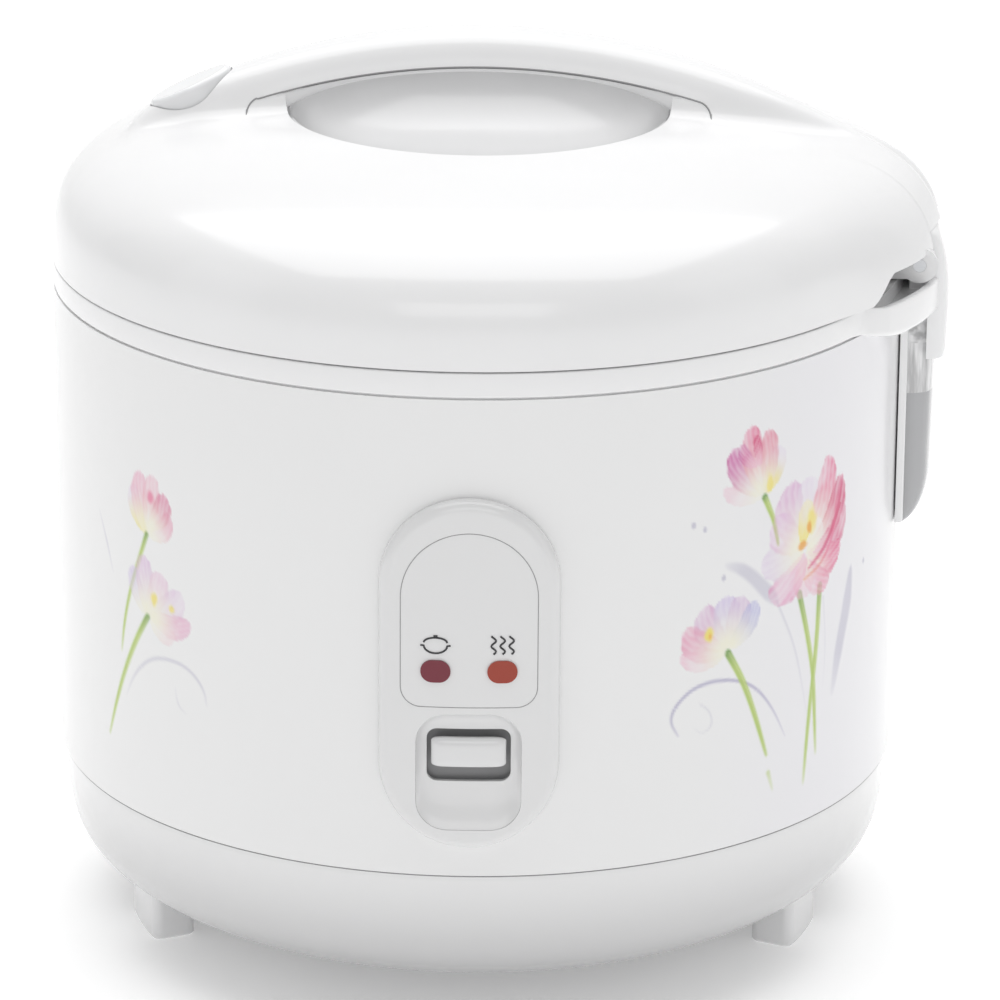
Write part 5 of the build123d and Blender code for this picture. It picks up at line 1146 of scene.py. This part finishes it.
WHITE = (0.87, 0.87, 0.875)
MOULDED = {
    "white_plastic": (WHITE, 0.2, 0.25),
    "button_plastic": ((0.86, 0.865, 0.875), 0.12, 0.5),
    "knob_plastic": ((0.74, 0.74, 0.745), 0.14, 0.7),
    "label_film": ((0.72, 0.722, 0.735), 0.3, 0.2),
    "red_lens": ((0.17, 0.010, 0.026), 0.3, 0.1),
    "amber_lens": ((0.33, 0.034, 0.012), 0.3, 0.1),
    "lamp_glass": ((0.75, 0.45, 0.25), 0.1, 0.8),
    "board": ((0.03, 0.18, 0.08), 0.4, 0.1),
    "pan_coating": ((0.05, 0.05, 0.055), 0.45, 0.1),
    "heater_wrap": ((0.7, 0.66, 0.58), 0.7, 0.0),
    "rubber": ((0.66, 0.66, 0.65), 0.6, 0.0),
    "dark_plastic": ((0.035, 0.035, 0.038), 0.4, 0.1),
    "fuse_body": ((0.7, 0.68, 0.62), 0.6, 0.0),
}
METAL = {
    "cast_aluminium": ((0.6, 0.61, 0.62), 0.45),
    "sheet_aluminium": ((0.78, 0.79, 0.8), 0.3),
    "steel": ((0.62, 0.63, 0.65), 0.3),
    "brass": ((0.78, 0.6, 0.3), 0.3),
}
finish = {name: moulded(name, *look) for name, look in MOULDED.items()}
finish.update({name: metal(name, *look) for name, look in METAL.items()})
# the dew cup's clear plastic is opaque, with painted highlights above and painted shade below
finish["clear_plastic"] = cup_plastic("clear_plastic")


def enamel():
    """Glossy enamel with the print under its glaze."""
    surface = Surface("enamel_shell")
    printed = surface.node("ShaderNodeVertexColor", {"layer_name": "print"})
    cloud = surface.noise(0.06)
    base = surface.mix(cloud, (0.865, 0.865, 0.866), (0.88, 0.88, 0.881))
    surface.set(base_color=surface.mix(1.0, base, printed, "MULTIPLY"))
    surface.set(roughness=cloud * 0.06 + 0.22, coat_weight=0.12, coat_roughness=0.1, ior=1.45)
    surface.bump(surface.noise(0.02, detail=2.0), 0.00002, 0.25)
    return surface


finish["enamel_shell"] = enamel()
# the base's plastic carries painted shade, darker towards the foot
base_painted_shade_surface = painted_shade_base("base_plastic_painted_shade")
panel_surface = moulded("panel_plastic", (0.76, 0.76, 0.763), 0.2, 0.4)
# painted shade: the grip bowl is given a darker grey than the lid's white, standing in for the shade inside the recess
# under the handle
bowl_painted_shade_surface = moulded("bowl_plastic_painted_shade", (0.70, 0.70, 0.705), 0.25, 0.2)
# painted shadow: a dark grey for thin cords that stand in for the shadow in narrow gaps and at edges
seam_shadow_surface = moulded("seam_shadow_grey", (0.3, 0.3, 0.305), 0.5, 0.1)
apron_surface = moulded("apron_grey", (0.24, 0.24, 0.245), 0.4, 0.1)
for name, node in frame["nodes"].items():
    key = node.data.materials[0].name.split(".")[0]
    node.data.materials.clear()
    surface = {"bottom_housing": base_painted_shade_surface, "grip_bowl": bowl_painted_shade_surface}.get(name, finish[key])
    node.data.materials.append(surface.material)

# ---------------------------------------------------------------- pieces

dress(make_lid(), "lid", "white_plastic", "outer_lid")
dress(make_underside(), "lid", "white_plastic", "handle_underside")


def line_piece(name, paths, body, radius, surface):
    """A thin round line, with its radius in millimetres, as a piece of its own."""
    line = grow(path_object(name, paths), cords, surface, {"Radius": radius * MM})
    dress(line, body, "dark_plastic", surface=surface)


cords = cord_tree()
# painted shadow: a dark cord along the handle's joint, standing in for the shadow in the gap
line_piece("handle_seam_shadow", [seam_path(1), seam_path(-1)], "lid", 0.26, seam_shadow_surface)
# painted shadow: a dark cord round the joint between base and shell, standing in for the shadow in the gap
JOINT_R, JOINT_Z = 130.65, 57.66
turn = np.linspace(0, 2 * pi, 361)
circle = np.stack([JOINT_R * np.cos(turn), JOINT_R * np.sin(turn), np.full_like(turn, JOINT_Z)], -1)
line_piece("base_seam_shadow", [circle], "base", 0.17, seam_shadow_surface)
dress(make_shell(), "base", "enamel_shell", "outer_shell")
dress(make_bezel(), "base", "white_plastic", "control_bezel", "label_plate", surface=panel_surface)
dress(make_scoop(), "base", "white_plastic", surface=panel_surface)
key, stalk, apron = make_knob()
dress(key, "switch_knob", "knob_plastic", "switch_knob")
dress(stalk, "switch_knob", "knob_plastic")
dress(apron, "switch_knob", "knob_plastic", surface=apron_surface)
# painted shade: a dark line round the label's edge, standing in for the shade at its inset step
line_piece("label_edge_shadow", [on_cylinder(*label_outline(), PANEL_R - 0.06)], "base", 0.15, seam_shadow_surface)
line_piece("label_marks", make_marks(), "base", 0.3, finish["dark_plastic"])
dress(make_rim(), "base", "white_plastic", "upper_frame")
dress(make_hinge_cover(), "base", "white_plastic", "hinge_cover")
dress(make_cup(), "dew_collector", "clear_plastic", "dew_collector")
dress(make_mount(), "base", "white_plastic", "collector_mount")


def upright(node, wire):
    """The radius, height and place of a spring that stands in a CAD spring's envelope."""
    low, high = box_mm(node)
    foot = ((low[0] + high[0]) / 2, (low[1] + high[1]) / 2, low[2] + wire)
    return (high[0] - low[0]) / 2 - wire, high[2] - low[2] - 2 * wire, Matrix.Translation(Vector(foot) * MM)


def coil(name, node, body, wire, turns, radius, height, place):
    """A spring drawn where a CAD spring's envelope is."""
    sizes = {"Radius": radius * MM, "Height": height * MM, "Turns": turns, "Wire": wire * MM}
    obj = grow(path_object(name, [[(0, 0, 0), (0, 0, 1)]]), springs, finish["steel"], sizes, place)
    dress(obj, body, "steel", node)


springs = spring_tree()
coil("sensor_coil", "sensor_spring", "base", 0.8, 4.0, *upright("sensor_spring", 0.8))
coil("release_coil", "release_spring", "base", 0.7, 5.0, *upright("release_spring", 0.7))
near, far = (corner[1] for corner in box_mm("hinge_spring"))
lie = Matrix.Translation(Vector((HINGE[0], far - 0.8, HINGE[2])) * MM) @ Matrix.Rotation(radians(90), 4, "X")
coil("hinge_coil", "hinge_spring", "base", 0.8, 12.0, 4.5, far - near - 1.6, lie)
foot = BUTTON_CENTRE - BUTTON_NORMAL * 20.3
lean = Matrix.Translation(Vector(foot) * MM) @ Matrix.Rotation(-BUTTON_TILT, 4, "Y")
coil("button_coil", "button_spring", "lid", 0.5, 6.0, 5.2, 12.6, lean)

# ---------------------------------------------------------------- floor and light


def floor():
    """A pale sheet that lies flat and sweeps up behind."""
    turn = np.radians(np.linspace(0, 90, 20))
    y = np.concatenate([np.linspace(-4000, 1800, 10), 1800 + 1500 * np.sin(turn[1:]), [3300]])
    z = np.concatenate([np.zeros(10), 1500 - 1500 * np.cos(turn[1:]), [6000]])
    x = np.linspace(-6000, 6000, 7)
    points = np.stack([np.tile(x, len(y)), np.repeat(y, len(x)), np.repeat(z, len(x))], -1)
    obj = put("floor", points, grid_faces(len(y), len(x)))
    paper = Surface("paper")
    cloud = paper.noise(0.4)
    paper.set(base_color=paper.mix(cloud, (0.93, 0.93, 0.93), (0.95, 0.95, 0.95)), roughness=0.85)
    paper.set(emission_color=(1.0, 1.0, 1.0), emission_strength=0.24)
    obj.data.materials.append(paper.material)


def lamp(name, place, aim, width, height, power):
    data = bpy.data.lights.new(name, "AREA")
    data.shape = "RECTANGLE"
    data.size = width
    data.size_y = height
    data.energy = power
    obj = add(name, data)
    obj.location = place
    obj.rotation_euler = (Vector(aim) - Vector(place)).to_track_quat("-Z", "Y").to_euler()


floor()
lamp("overhead", (0, 0.25, 2.0), (0, 0, 0.1), 2.6, 2.2, 36)
lamp("left_box", (-2.2, -0.7, 0.9), (0, 0, 0.15), 1.2, 1.8, 2.5)
lamp("right_box", (2.2, -0.7, 0.9), (0, 0, 0.15), 1.2, 1.8, 2.5)
lamp("front_box", (0, -3.4, 1.6), (0, 0, 0.12), 2.6, 1.2, 13)
world = bpy.data.worlds.new("studio")
world.use_nodes = True
world.node_tree.nodes["Background"].inputs["Color"].default_value = (1, 1, 1, 1)
world.node_tree.nodes["Background"].inputs["Strength"].default_value = 0.38
bpy.context.scene.world = world
bpy.context.scene.view_settings.view_transform = "Standard"
